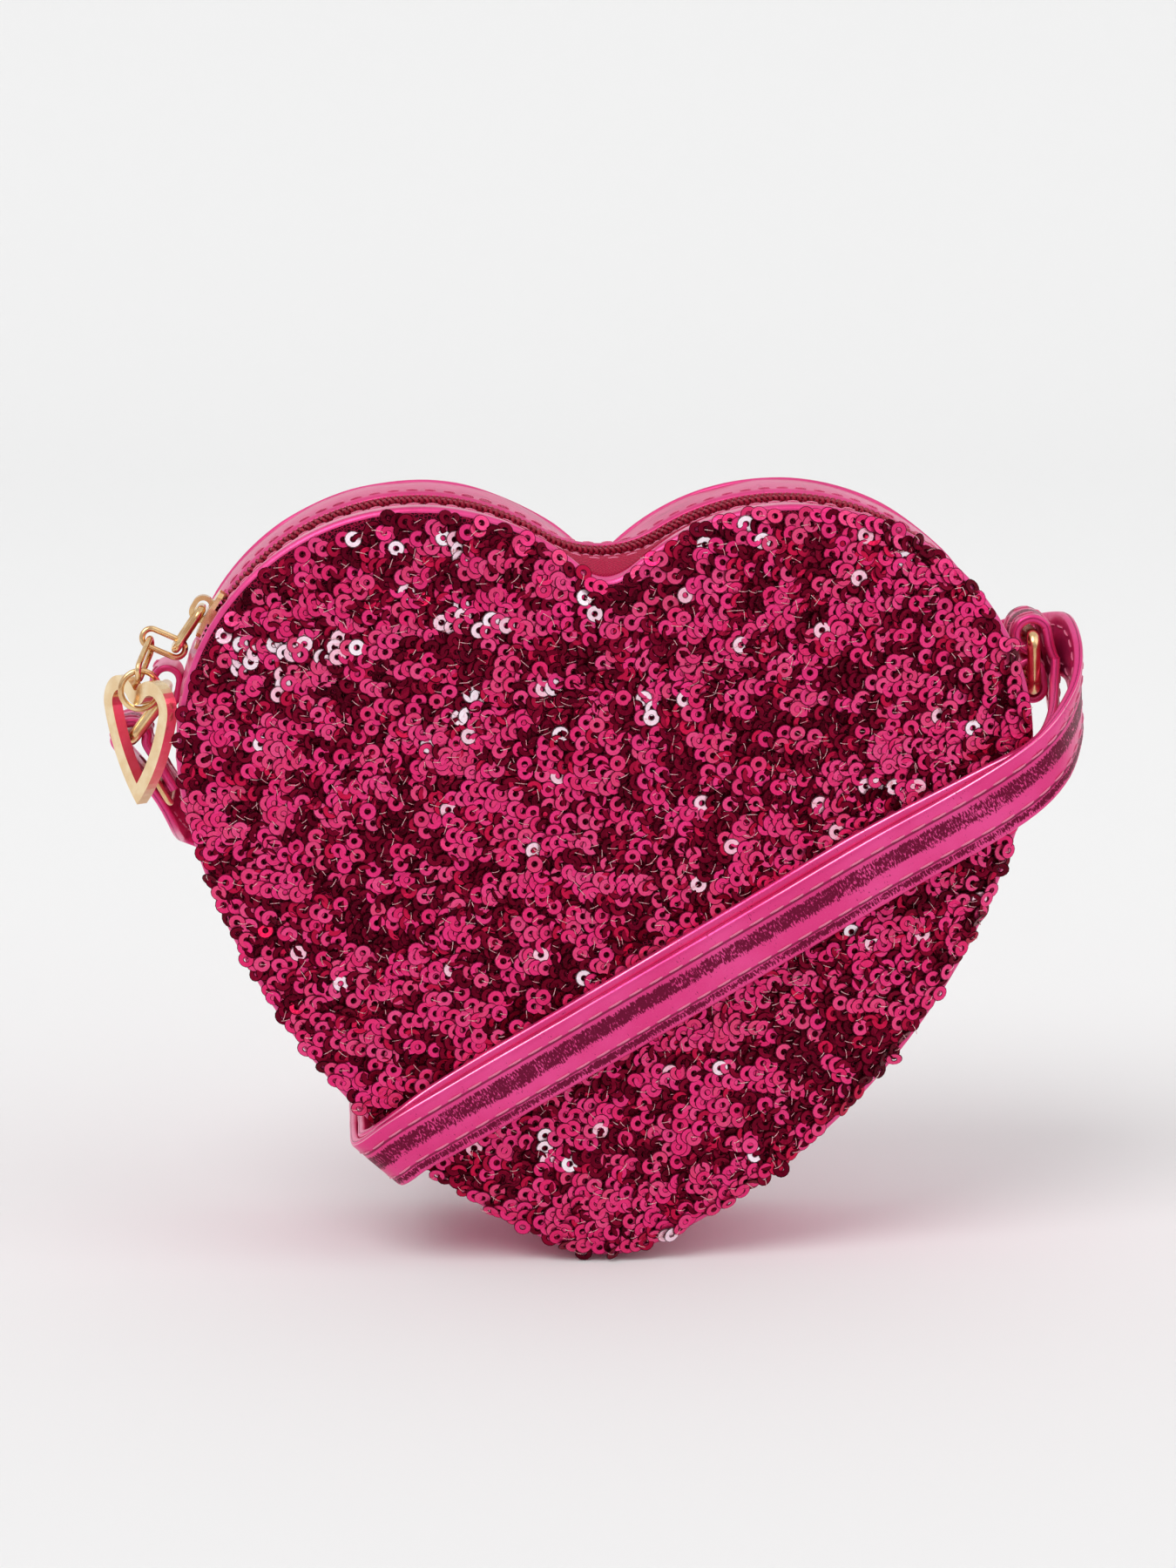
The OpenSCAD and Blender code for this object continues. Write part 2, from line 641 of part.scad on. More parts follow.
// Places on the bag: x share, depth share, z share, layer, and the way that the outer face looks
route_share = [
    [1.07, -0.13, -0.026, 0, 1, -0.2, 0],
    [1.052, -0.565, -0.091, 0, 0.85, -0.5, 0],
    [1.008, -0.888, -0.136, 0, 0.6, -0.8, 0],
    [0.9, -1, -0.195, 0, 0.1, -1, 0],
    [0.64, -1, -0.332, 0, 0, -1, 0],
    [0.39, -1, -0.48, 0, 0, -1, 0],
    [0, -1, -0.712, 0, 0, -1, 0],
    [-0.34, -1, -0.912, 0, 0, -1, 0],
    [-0.45, -1, -0.985, 0, -0.25, -0.92, -0.3],
    [-0.51, -0.9, -1.034, 0, -0.45, -0.72, -0.52],
    [-0.515, -0.66, -1.038, 0, -0.66, 0, -0.75],
    [-0.515, 0, -1.038, 0, -0.66, 0, -0.75],
    [-0.515, 0.66, -1.038, 0, -0.66, 0, -0.75],
    [-0.51, 0.94, -1.034, 0, -0.45, 0.72, -0.52],
    [-0.44, 1, -0.975, 0, -0.25, 0.92, -0.3],
    [-0.32, 1, -0.88, 0, 0, 1, 0],
    [0, 1, -0.66, 0, 0, 1, 0],
    [0.455, 1, -0.35, 0, 0, 1, 0],
    [0.8, 1, -0.1, 0, 0, 1, 0],
    [0.92, 1, -0.005, 0, 0.15, 1, 0],
    [1.0, 0.94, 0.05, 0, 0.6, 0.8, 0],
    [1.06, 0.68, 0.08, 0, 0.95, 0.4, 0],
    [1.107, 0.175, 0.104, 0, 1, 0, 0],
    [1.113, -0.25, 0.058, 0, 1, 0, 0],
    [1.096, -0.59, -0.026, 0, 0.9, -0.4, 0],
    [1.01, -0.9, -0.11, 1, 0.6, -0.8, 0],
    [0.9, -1, -0.205, 1, 0.1, -1, 0],
    [0.64, -1, -0.355, 1, 0, -1, 0],
    [0.39, -1, -0.503, 1, 0, -1, 0],
    [0, -1, -0.732, 1, 0, -1, 0],
    [-0.34, -1, -0.93, 1, 0, -1, 0],
    [-0.455, -1, -0.99, 1, -0.25, -0.92, -0.3],
    [-0.51, -0.9, -1.034, 1, -0.45, -0.72, -0.52],
    [-0.515, -0.66, -1.038, 1, -0.66, 0, -0.75],
    [-0.515, 0, -1.038, 1, -0.66, 0, -0.75],
    [-0.515, 0.66, -1.038, 1, -0.66, 0, -0.75],
    [-0.51, 0.94, -1.034, 1, -0.45, 0.72, -0.52],
    [-0.45, 1, -0.965, 1, -0.25, 0.92, -0.3],
    [-0.425, 1, -0.87, 1, 0, 1, 0],
    [-0.45, 1, -0.76, 0.8, 0, 1, 0],
    [-0.53, 1, -0.64, 0.3, 0, 1, 0],
    [-0.64, 1, -0.535, 0, 0, 1, 0],
    [-0.775, 1, -0.44, 0, 0, 1, 0],
    [-0.885, 1, -0.375, 0, -0.15, 1, 0],
    [-0.975, 0.96, -0.33, 0, -0.6, 0.8, 0],
    [-1.0, 0.6, -0.29, 0, -0.95, 0.3, -0.1]];

function route_point(row) = [row[0] * reach, row[1] * (edge_y + (row[1] < 0 ? front_rise : back_rise)),
    row[2] * reach] + (strap_t / 2 + lay_gap + row[3] * layer_step) * route_out(row);
function route_out(row) = unit([row[4], row[5], row[6]]);
function loop_points(bow, from, to, steps) =
    [for (i = [0 : steps]) [bow + loop_r * heading(from + (to - from) * i / steps),
        heading(from + (to - from) * i / steps)]];

// Places near the ring bows, as shares of the ring's length from the bow, and the way that the outer face looks
right_lead_share = [[0.33, -0.06, -0.73, 1, 0, 0]];
left_lead_share = [[0.68, 0.24, -1.18, -1, 0, -0.3], [0.22, 0, -0.56, -0.87, 0, -0.5]];
function lead_knots(bow, rows) = [for (row = rows) let (out = unit([row[3], row[4], row[5]]))
    [bow + ring_l * [row[0], row[1], row[2]] + (strap_t / 2 + lay_gap) * out, out]];

loop_steps = 7;
right_loop_turns = [300, 0];
left_loop_turns = [210, -20];
tail_lean = 202;
tail_share = [0.35, 0.7, 1];
tail_out = heading(ring_slope_left - tail_lean);
tail_way = heading(ring_slope_left - tail_lean - 90);
tail_from = left_bow + loop_r * heading(left_loop_turns[1]);
strap_knots = concat(loop_points(right_bow, right_loop_turns[0], right_loop_turns[1], loop_steps),
    lead_knots(right_bow, right_lead_share),
    [for (row = route_share) [route_point(row), route_out(row)]],
    lead_knots(left_bow, left_lead_share),
    loop_points(left_bow, left_loop_turns[0], left_loop_turns[1], loop_steps),
    [for (s = tail_share) [tail_from + s * ring_l * tail_way, tail_out]]);

// Smooth curve through the knots, three steps to each span
function blend_knots(list, k, i, t) =
    let (last = len(list) - 1, a = list[max(i - 1, 0)][k], b = list[i][k], c = list[i + 1][k],
        d = list[min(i + 2, last)][k])
    0.5 * (2 * b + (c - a) * t + (2 * a - 5 * b + 4 * c - d) * t * t + (3 * b - a - 3 * c + d) * t * t * t);
knot_steps = 3;
strap_line = concat([for (i = [0 : len(strap_knots) - 2]) for (j = [0 : knot_steps - 1])
    [blend_knots(strap_knots, 0, i, j / knot_steps), blend_knots(strap_knots, 1, i, j / knot_steps)]],
    [strap_knots[len(strap_knots) - 1]]);

// Section corners as shares of half the width and half the thickness
section_share = [[-1, 0.4], [-0.94, 1], [0.94, 1], [1, 0.4], [1, -0.4], [0.94, -1], [-0.94, -1], [-1, -0.4]];

function strap_section(i) =
    let (last = len(strap_line) - 1, at = strap_line[i][0],
        way = unit(strap_line[min(i + 1, last)][0] - strap_line[max(i - 1, 0)][0]),
        wide = unit(cross(strap_line[i][1], way)), out = cross(way, wide))
    [for (s = section_share) at + s[0] * strap_w / 2 * wide + s[1] * strap_t / 2 * out];

module strap() {
    color(pink) skin([for (i = [0 : len(strap_line) - 1]) strap_section(i)]);
}

// Slide: a flat frame with a middle bar between the strap and its tail
slide_wire = 1.3;
slide_l = 7;
slide_w = ring_w - slide_wire;
slide_way = tail_way;
slide_along_share = 0.45;
slide_under_share = 0.56;
slide_at = tail_from + ring_l * slide_along_share * tail_way
    - tail_out * (strap_t + slide_wire) * slide_under_share;

module strap_slide() {
    color(gold) placed(slide_at, slide_way, [0, 1, 0]) {
        wire_frame(slide_l, slide_w, slide_wire, slide_wire);
        translate([slide_l / 2, -slide_w / 2, 0])
            rotate([-90, 0, 0])
                cylinder(h = slide_w, d = slide_wire, $fn = wire_facets);
    }
}

front_padding();
sequin_cloth();
back_padding();
back_cover();
gusset();
lining_front();
lining_back();
lining_wall();
zip_facing_front();
zip_facing_back();
zip_tape_front();
zip_tape_back();
zip_coil_front();
zip_coil_back();
zip_stops();
zip_slider();
pull_loop();
chain_link_upper();
chain_link_lower();
jump_ring();
heart_charm();
ring_tab_left();
ring_tab_right();
strap_ring_left();
strap_ring_right();
strap();
strap_slide();
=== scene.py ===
"""Looks of the heart shaped sequin purse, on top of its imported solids."""
import math
import random

import bmesh
import bpy
import numpy as np
from bpy.props import FloatProperty, FloatVectorProperty, IntProperty, PointerProperty
from mathutils import Matrix, Vector, noise


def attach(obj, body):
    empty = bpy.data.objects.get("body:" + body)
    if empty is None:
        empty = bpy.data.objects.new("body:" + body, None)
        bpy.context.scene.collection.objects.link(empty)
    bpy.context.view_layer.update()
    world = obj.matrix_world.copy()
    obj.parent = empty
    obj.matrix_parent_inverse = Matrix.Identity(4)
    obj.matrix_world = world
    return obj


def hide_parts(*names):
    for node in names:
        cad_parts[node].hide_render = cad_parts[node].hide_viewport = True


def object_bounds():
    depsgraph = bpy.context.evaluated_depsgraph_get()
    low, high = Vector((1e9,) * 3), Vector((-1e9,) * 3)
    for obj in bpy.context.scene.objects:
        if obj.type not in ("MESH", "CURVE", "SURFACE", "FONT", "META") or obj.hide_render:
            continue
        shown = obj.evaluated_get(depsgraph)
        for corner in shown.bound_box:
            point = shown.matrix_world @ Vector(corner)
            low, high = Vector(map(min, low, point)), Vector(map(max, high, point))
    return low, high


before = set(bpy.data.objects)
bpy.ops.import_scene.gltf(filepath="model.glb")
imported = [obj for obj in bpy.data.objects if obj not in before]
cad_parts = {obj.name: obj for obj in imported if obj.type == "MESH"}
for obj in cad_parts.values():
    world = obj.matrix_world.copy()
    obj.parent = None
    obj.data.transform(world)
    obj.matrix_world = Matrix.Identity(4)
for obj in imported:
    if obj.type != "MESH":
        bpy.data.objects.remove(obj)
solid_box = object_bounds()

bl_info = {
    "name": "Sequin heart purse",
    "version": (1, 0, 0),
    "blender": (4, 5, 0),
    "location": "3D View > Sidebar > Purse",
    "description": "Builds the sequins, covers, zip, strap and metal finishes of a heart shaped purse",
    "category": "Object",
}

MM = 0.001
UV_LAYER = "UVMap"
ACROSS = Vector((0, 1, 0))


def length(name, description, millimetres):
    """A size that a user can change, in metres, with its default in millimetres."""
    return FloatProperty(name=name, description=description, default=millimetres * MM, unit="LENGTH",
                         precision=5)


def angle(name, description, degrees):
    """An angle that a user can change."""
    return FloatProperty(name=name, description=description, default=math.radians(degrees), subtype="ANGLE")


def colour(name, description, red, green, blue):
    """A colour that a user can change."""
    return FloatVectorProperty(name=name, description=description, default=(red, green, blue),
                               subtype="COLOR", min=0.0, max=1.0)


class PurseSizes(bpy.types.PropertyGroup):
    """Sizes of the heart, the covers and the zip."""

    lobe_r: length("Lobe radius", "Radius of each upper lobe of the heart", 43.5)
    lobe_x: length("Lobe place", "Distance of each lobe's centre from the middle", 33.5)
    lobe_z: length("Lobe height", "Height of the lobes' centres", -6)
    side_r: length("Side radius", "Radius of the long side curves", 122)
    side_drop: angle("Side start", "Angle below level at which the side curves start", 13.3)
    tip_r: length("Tip radius", "Radius of the point", 21.5)
    dip_r: length("Dip radius", "Radius of the dip between the lobes at the panels", 5.5)
    zip_dip_r: length("Zip dip radius", "Radius of the dip where the zip runs through it", 20)
    tab_angle: angle("Zip end", "Angle on each lobe at which the zip ends", 20)
    depth: length("Depth", "Depth of the bag between its panels' edges", 42)
    panel_t: length("Panel", "Thickness of the stiff panels", 1.6)
    crown: length("Crown", "How far each panel swells", 1.4)
    gusset_crown: length("Gusset crown", "How far the gusset swells", 0.8)
    gusset_t: length("Gusset", "Thickness of the gusset", 1.4)
    zip_sink: length("Zip sink", "How far the zip lies below the facings", 1.6)
    tape_t: length("Tape", "Thickness of the zip tapes", 0.5)
    tape_show: length("Tape show", "Width of tape beside the rows", 6)
    row_gap: length("Row gap", "Channel between the two rows for the slider's post", 1.4)
    row_w: length("Row width", "Width of each row", 2)
    coil_pitch: length("Coil pitch", "Distance from one turn of the coil to the next", 1.05)
    coil_wire: length("Coil wire", "Thickness of the nylon of the coil", 0.62)
    stitch_pitch: length("Stitch pitch", "Distance from stitch to stitch", 3.4)
    stitch_wire: length("Thread", "Thickness of the sewing thread", 0.42)


class SequinLook(bpy.types.PropertyGroup):
    """Sizes and colours of the sequins."""

    sequin_d: length("Sequin", "Width of a ring sequin", 3.2)
    hole_d: length("Hole", "Width of the hole in a sequin", 1.0)
    row_step: length("Row step", "Distance between rows of sequins", 1.95)
    along_step: length("Along step", "Distance from sequin to sequin in a row", 1.62)
    seed: IntProperty(name="Seed", description="Seed for the scatter of the sequins", default=7, min=0)
    film: colour("Film", "Main colour of the sequins", 0.90, 0.040, 0.235)
    deep: colour("Deep film", "Colour of the sequins that lie in shade", 0.110, 0.0005, 0.012)
    warm: colour("Warm film", "Colour of the redder sequins", 0.74, 0.012, 0.080)
    pale: colour("Pale film", "Colour of the sequins that catch the light", 1.0, 0.84, 0.93)


class StrapSizes(bpy.types.PropertyGroup):
    """Sizes of the strap, its rings and its tabs."""

    width: length("Strap width", "Width of the strap", 12)
    thick: length("Strap thickness", "Thickness of the strap", 1.9)
    lay_gap: length("Lay gap", "Gap between the layers of the winding", 0.3)
    ring_wire: length("Ring wire", "Thickness of the ring wire", 2.4)
    ring_play: length("Ring play", "Play of the strap in its rings", 0.4)
    ring_l: length("Ring length", "Length of the rings between bar and bow", 10)
    ring_y: length("Ring place", "Distance of the rings from the bag's middle plane", 5)
    tab_t: length("Tab", "Thickness of the folded tabs", 1.2)
    tab_eye_h: length("Tab eye", "Inner height of the tabs' eyes", 6.2)
    seam_in: length("Seam", "Distance of the seams from the strap's edges", 2.6)


class PurseColours(bpy.types.PropertyGroup):
    """Colours of the covers, cloth and metal."""

    leather: colour("Leather", "Pink metallic coated leather", 0.77, 0.040, 0.225)
    # leather_dark is painted shade in creases and seam lines, and painted dark reflection in streaks and in
    # the strap's bands
    leather_dark: colour("Leather shade", "Dark crushed places in the leather", 0.130, 0.001, 0.024)
    leather_pale: colour("Leather sheen", "Pale sheen of the leather", 0.84, 0.068, 0.290)
    tape: colour("Tape", "Crimson of the zip tapes", 0.52, 0.010, 0.066)
    coil: colour("Coil", "Dark red of the zip's coil", 0.28, 0.006, 0.030)
    lining: colour("Lining", "Dark red of the lining", 0.24, 0.010, 0.05)
    thread: colour("Thread", "Pink of the sewing thread", 0.95, 0.30, 0.48)
    gold: colour("Gold", "Pale gold of the heart charm", 0.97, 0.79, 0.52)
    # gold_dark and wire_dark are painted shade, which the plating lays in soft random clouds
    gold_dark: colour("Gold shade", "Darker gold in the charm's hollows", 0.86, 0.62, 0.36)
    wire: colour("Wire", "Gold of the chain, the rings and the slider", 0.93, 0.68, 0.37)
    wire_dark: colour("Wire dark", "Darker gold in the hollows of the other metal", 0.66, 0.38, 0.18)
    floor: colour("Floor", "Pale floor and background", 0.84, 0.84, 0.84)


def sizes():
    return bpy.context.scene.purse_sizes


def strap_sizes():
    return bpy.context.scene.purse_strap


def sequin_look():
    return bpy.context.scene.purse_sequins


def colours():
    return bpy.context.scene.purse_colours


# Shader maths


def _socket(value):
    return value.socket if isinstance(value, Wire) else value


class Wire:
    """A shader socket that takes part in Python expressions: each operator adds the node that does it."""

    def __init__(self, recipe, socket):
        self.recipe = recipe
        self.socket = socket

    def _math(self, operation, *values):
        return self.recipe.node("ShaderNodeMath", {"operation": operation}, dict(enumerate(values)))

    def __add__(self, other):
        return self._math("ADD", self, other)

    def __sub__(self, other):
        return self._math("SUBTRACT", self, other)

    def __rsub__(self, other):
        return self._math("SUBTRACT", other, self)

    def __mul__(self, other):
        return self._math("MULTIPLY", self, other)

    __radd__, __rmul__ = __add__, __mul__

    def __abs__(self):
        return self._math("ABSOLUTE", self)

    def frac(self):
        return self._math("FRACT", self)

    def wave(self):
        """Sine of the value in turns."""
        return self._math("SINE", self * math.tau)


class Recipe:
    """A material that is being written, from its nodes to its surface, or the nodes of a world."""

    def __init__(self, name, world=None):
        self.material = world or bpy.data.materials.new(name)
        self.material.use_nodes = True
        self.tree = self.material.node_tree

    def node(self, kind, settings=None, inputs=None, output=0):
        """Adds a node: its settings first, then its sockets' values or links."""
        made = self.tree.nodes.new(kind)
        for key, value in (settings or {}).items():
            setattr(made, key, value)
        for key, value in (inputs or {}).items():
            self.feed(made.inputs[key], value)
        return Wire(self, made.outputs[output]) if made.outputs else None

    def feed(self, socket, value):
        """Links a value that comes from a node to a socket, or sets the socket to it."""
        value = _socket(value)
        if isinstance(value, bpy.types.NodeSocket):
            self.tree.links.new(value, socket)
        elif hasattr(value, "__len__") and len(value) < len(socket.default_value):
            socket.default_value = (*value, 1.0)
        else:
            socket.default_value = value

    def millimetres(self, vector):
        return self.node("ShaderNodeVectorMath", {"operation": "SCALE"}, {0: vector, "Scale": 1 / MM})

    def place(self):
        """Place in the purse's own frame, in millimetres."""
        return self.millimetres(self.node("ShaderNodeTexCoord", output="Object"))

    def along(self):
        """Place along and across a strip, in millimetres, from its UV layer."""
        return self.millimetres(self.node("ShaderNodeUVMap", {"uv_map": UV_LAYER}))

    def stretched(self, *shares):
        """The place, in millimetres, scaled by a share on each axis."""
        return self.node("ShaderNodeMapping", inputs={"Vector": self.place(), "Scale": shares})

    def strip_noise(self, along, beside=0.0, detail=2.0):
        """Noise over a strip, from its two places."""
        return self.noise(self.node("ShaderNodeCombineXYZ", inputs={0: along, 1: beside}), 1.0, detail)

    def split(self, vector):
        parts = self.node("ShaderNodeSeparateXYZ", inputs={0: vector}).socket.node
        return [Wire(self, parts.outputs[k]) for k in range(3)]

    def noise(self, place, scale, detail=3.0, roughness=0.55):
        inputs = {"Vector": place, "Scale": scale, "Detail": detail, "Roughness": roughness}
        return self.node("ShaderNodeTexNoise", inputs=inputs, output="Fac")

    def cells(self, place, scale, feature="F1"):
        return self.node("ShaderNodeTexVoronoi", {"feature": feature},
                         {"Vector": place, "Scale": scale}, output="Distance")

    def ramp(self, value, low, high, from_value=0.0, to_value=1.0):
        """Goes smoothly from one value to the other while the input goes from low to high."""
        return self.node("ShaderNodeMapRange", {"interpolation_type": "SMOOTHSTEP"},
                         {"Value": value, "From Min": low, "From Max": high,
                          "To Min": from_value, "To Max": to_value})

    def band(self, value, low, high):
        """Falls from 1 to 0 while the input goes from low to high."""
        return self.ramp(value, low, high, 1.0, 0.0)

    def blend(self, share, first, second):
        """Colour that goes from the first to the second as the share goes from 0 to 1."""
        return self.node("ShaderNodeMix", {"data_type": "RGBA"}, {0: share, 6: first, 7: second}, output=2)

    def bump(self, height, distance, strength, normal=None):
        inputs = {"Height": height, "Distance": distance, "Strength": strength}
        if normal is not None:
            inputs["Normal"] = normal
        return self.node("ShaderNodeBump", inputs=inputs)

    def surface(self, **inputs):
        """Sets the shader's sockets by name, with spaces written as underscores."""
        shader = self.tree.nodes["Principled BSDF"]
        for name, value in inputs.items():
            self.feed(shader.inputs[name.replace("_", " ")], value)
        return self.material


# Heart outline, in metres, as (x, z)


class Heart:
    """The outline of the heart and the paths of the zip and the gusset on it, finer than in the solids."""

    FINE = 3
    STEPS = {"dip": 5, "lobe": 16, "low": 5, "side": 11, "tip": 5}

    def __init__(self, size):
        self.size = size
        side_x = size.lobe_x - (size.side_r - size.lobe_r) * math.cos(size.side_drop)
        side_z = size.lobe_z + (size.side_r - size.lobe_r) * math.sin(size.side_drop)
        self.lobe, self.side = (size.lobe_x, size.lobe_z), (side_x, side_z)
        self.tip_z = side_z - math.sqrt((size.side_r - size.tip_r) ** 2 - side_x ** 2)
        self.tip_turn = math.atan2(self.tip_z - side_z, -side_x)
        self.edge_y = size.depth / 2
        self.inner_y = self.edge_y - size.panel_t
        self.seam_y = self.inner_y - 0.05 * MM

    def _arc(self, centre, r, start, end, kind):
        """Points on an arc from one angle to the other, without its end."""
        steps = self.STEPS[kind] * self.FINE
        turns = [start + (end - start) * i / steps for i in range(steps)]
        return [(centre[0] + r * math.cos(turn), centre[1] + r * math.sin(turn)) for turn in turns]

    def top_half(self, inset, dip):
        """From the middle of the dip to the end of the zip on the right, without that end."""
        size = self.size
        dip_z = size.lobe_z + math.sqrt((size.lobe_r + dip) ** 2 - size.lobe_x ** 2)
        turn = math.atan2(size.lobe_z - dip_z, size.lobe_x)
        return (self._arc((0, dip_z), dip + inset, -math.pi / 2, turn, "dip")
                + self._arc(self.lobe, size.lobe_r - inset, turn + math.pi, size.tab_angle, "lobe"))

    def low_half(self, inset):
        """From the end of the zip on the right down to the point."""
        size = self.size
        return (self._arc(self.lobe, size.lobe_r - inset, size.tab_angle, -size.side_drop, "low")
                + self._arc(self.side, size.side_r - inset, -size.side_drop, self.tip_turn, "side")
                + self._arc((0, self.tip_z), size.tip_r - inset, self.tip_turn, -math.pi / 2, "tip")
                + [(0.0, self.tip_z - size.tip_r + inset)])

    def outline(self, inset, dip=None):
        """The whole outline, clockwise from the dip as seen from the front."""
        dip = self.size.dip_r + 0.2 * inset if dip is None else dip
        top, low = self.top_half(inset, dip), self.low_half(inset)
        return top + low + self._mirrored(low)[1:] + self._mirrored(top)[:-1]

    def top_path(self, inset, dip):
        """The zip's path from the left end over both lobes to the right end."""
        turn, reach = self.size.tab_angle, self.size.lobe_r - inset
        end = (self.lobe[0] + reach * math.cos(turn), self.lobe[1] + reach * math.sin(turn))
        half = self.top_half(inset, dip) + [end]
        return self._mirrored(half) + half[1:]

    def low_path(self, inset):
        """The gusset's path from the right end of the zip round the point to the left end."""
        half = self.low_half(inset)
        return half + self._mirrored(half)[1:]

    @staticmethod
    def _mirrored(points):
        return [(-x, z) for x, z in reversed(points)]

    def swell(self, inset):
        """How far the face of a panel stands out at a distance from its edge."""
        share = min(max(inset / (0.62 * self.size.lobe_r), 0.0), 1.0)
        return self.size.crown * (1 - (1 - share) ** 4.6)


def at_depth(points, y):
    return [Vector((x, y, z)) for x, z in points]


def heart():
    return Heart(sizes())


def smooth_step(value, low, high):
    share = min(max((value - low) / (high - low), 0.0), 1.0)
    return share * share * (3 - 2 * share)


# Meshes


def add_piece(mesh, kind, *stands_for):
    """A piece on the bag, with the material of that kind; the nodes that it stands for are hidden."""
    piece = bpy.data.objects.new(mesh.name, mesh)
    bpy.context.collection.objects.link(piece)
    mesh.materials.append(material(kind))
    if stands_for:
        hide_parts(*stands_for)
    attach(piece, "bag")
    return piece


def finish_mesh(name, points, faces, uvs=None, smooth=True):
    mesh = bpy.data.meshes.new(name)
    mesh.from_pydata([tuple(p) for p in points], [], faces)
    if uvs is not None:
        layer = mesh.uv_layers.new(name=UV_LAYER)
        layer.data.foreach_set("uv", [c for face in faces for index in face for c in uvs[index]])
    mesh.validate()
    mesh.shade_smooth() if smooth else mesh.shade_flat()
    mesh.update()
    return mesh


def loft(name, lines, closed_across=True, closed_along=False, caps=False):
    """A skin over lines of points. UVs run along the lines and across them, in metres."""
    count, rows = len(lines[0]), len(lines)
    middle = lines[rows // 4]
    run = [0.0]
    for a, b in zip(middle, middle[1:]):
        run.append(run[-1] + (b - a).length)
    wide = [0.0]
    for a, b in zip(lines, lines[1:]):
        wide.append(wide[-1] + (b[count // 3] - a[count // 3]).length)
    points = [p for line in lines for p in line]
    uvs = [(run[i], wide[k]) for k in range(rows) for i in range(count)]
    faces = []
    for k in range(rows if closed_across else rows - 1):
        a, b = k * count, (k + 1) % rows * count
        for i in range(count if closed_along else count - 1):
            j = (i + 1) % count
            faces.append((a + i, b + i, b + j, a + j))
    if caps:
        faces.append(tuple(k * count for k in range(rows)))
        faces.append(tuple(k * count + count - 1 for k in range(rows - 1, -1, -1)))
    return finish_mesh(name, points, faces, uvs)


def facing_out(mesh):
    """Turns the faces of a mesh outwards and shades them smoothly."""
    work = bmesh.new()
    work.from_mesh(mesh)
    bmesh.ops.recalc_face_normals(work, faces=work.faces)
    work.to_mesh(mesh)
    work.free()
    mesh.shade_smooth()
    return mesh


def closed_rims(mesh, first=0):
    """Fills the open rims of a mesh, from its point number first on."""
    work = bmesh.new()
    work.from_mesh(mesh)
    rims = [edge for edge in work.edges
            if edge.is_boundary and all(vertex.index >= first for vertex in edge.verts)]
    bmesh.ops.holes_fill(work, edges=rims, sides=0)
    work.to_mesh(mesh)
    work.free()
    return mesh


def ring_points(centre, radius, first, second, sides):
    """Points of a ring round a centre, in the plane of two ways."""
    turns = [math.tau * side / sides for side in range(sides)]
    return [centre + radius * (math.cos(turn) * first + math.sin(turn) * second) for turn in turns]


def ring_faces(start, rings, sides):
    """Faces between rings of points that follow each other, from the point number start on."""
    faces = []
    for ring in range(rings - 1):
        a, b = start + ring * sides, start + (ring + 1) * sides
        faces += [(a + side, a + (side + 1) % sides, b + (side + 1) % sides, b + side)
                  for side in range(sides)]
    return faces


def resampled(line, step):
    """Even steps along a line of (point, way out) pairs, each as (point, way along, way out)."""
    run = [0.0]
    for (a, _), (b, _) in zip(line, line[1:]):
        run.append(run[-1] + (b - a).length)
    count = max(int(run[-1] / step), 1)
    found, k = [], 0
    for i in range(count + 1):
        goal = run[-1] * i / count
        while k < len(run) - 2 and run[k + 1] < goal:
            k += 1
        share = (goal - run[k]) / max(run[k + 1] - run[k], 1e-9)
        (a, out_a), (b, out_b) = line[k], line[k + 1]
        found.append((a.lerp(b, share), (b - a).normalized(), out_a.lerp(out_b, share).normalized()))
    return found


def stitch_points(places, reach, wire):
    """Points and faces of sewn stitches: each is a low bead that dives into the cloth at both ends."""
    shape = [(-0.5, 0.30, -0.45), (-0.36, 0.85, 0.1), (0.0, 1.0, 0.3), (0.36, 0.85, 0.1), (0.5, 0.30, -0.45)]
    points, faces, sides = [], [], 6
    for at, way, out in places:
        beside = way.cross(out).normalized()
        first, last = len(points), len(points) + (len(shape) - 1) * sides
        for share, wide, rise in shape:
            centre = at + way * share * reach + out * rise * wire
            points += ring_points(centre, wire / 2 * wide, beside, out, sides)
        faces += ring_faces(first, len(shape), sides)
        faces.append(tuple(first + side for side in range(sides - 1, -1, -1)))
        faces.append(tuple(last + side for side in range(sides)))
    return points, faces


def sewn(name, lines, pitch=None):
    """A piece of stitches along several lines of (point, way out) pairs."""
    size = sizes()
    pitch = pitch or size.stitch_pitch
    places = [place for line in lines for place in resampled(line, pitch)[1:-1]]
    points, faces = stitch_points(places, pitch * 0.74, size.stitch_wire)
    add_piece(facing_out(finish_mesh(name, points, faces)), "thread")


def dimple(mesh, depth, scale, seed):
    """Presses soft uneven dents into a mesh's faces, along their normals and never outwards."""
    shift = Vector((seed * 3.7, seed * 1.3, seed * 2.1))
    moves = [vertex.normal * depth * min(2 * noise.noise(vertex.co / scale + shift) - 0.1, 0.0)
             for vertex in mesh.vertices]
    for vertex, move in zip(mesh.vertices, moves):
        vertex.co += move
    mesh.update()


# Materials


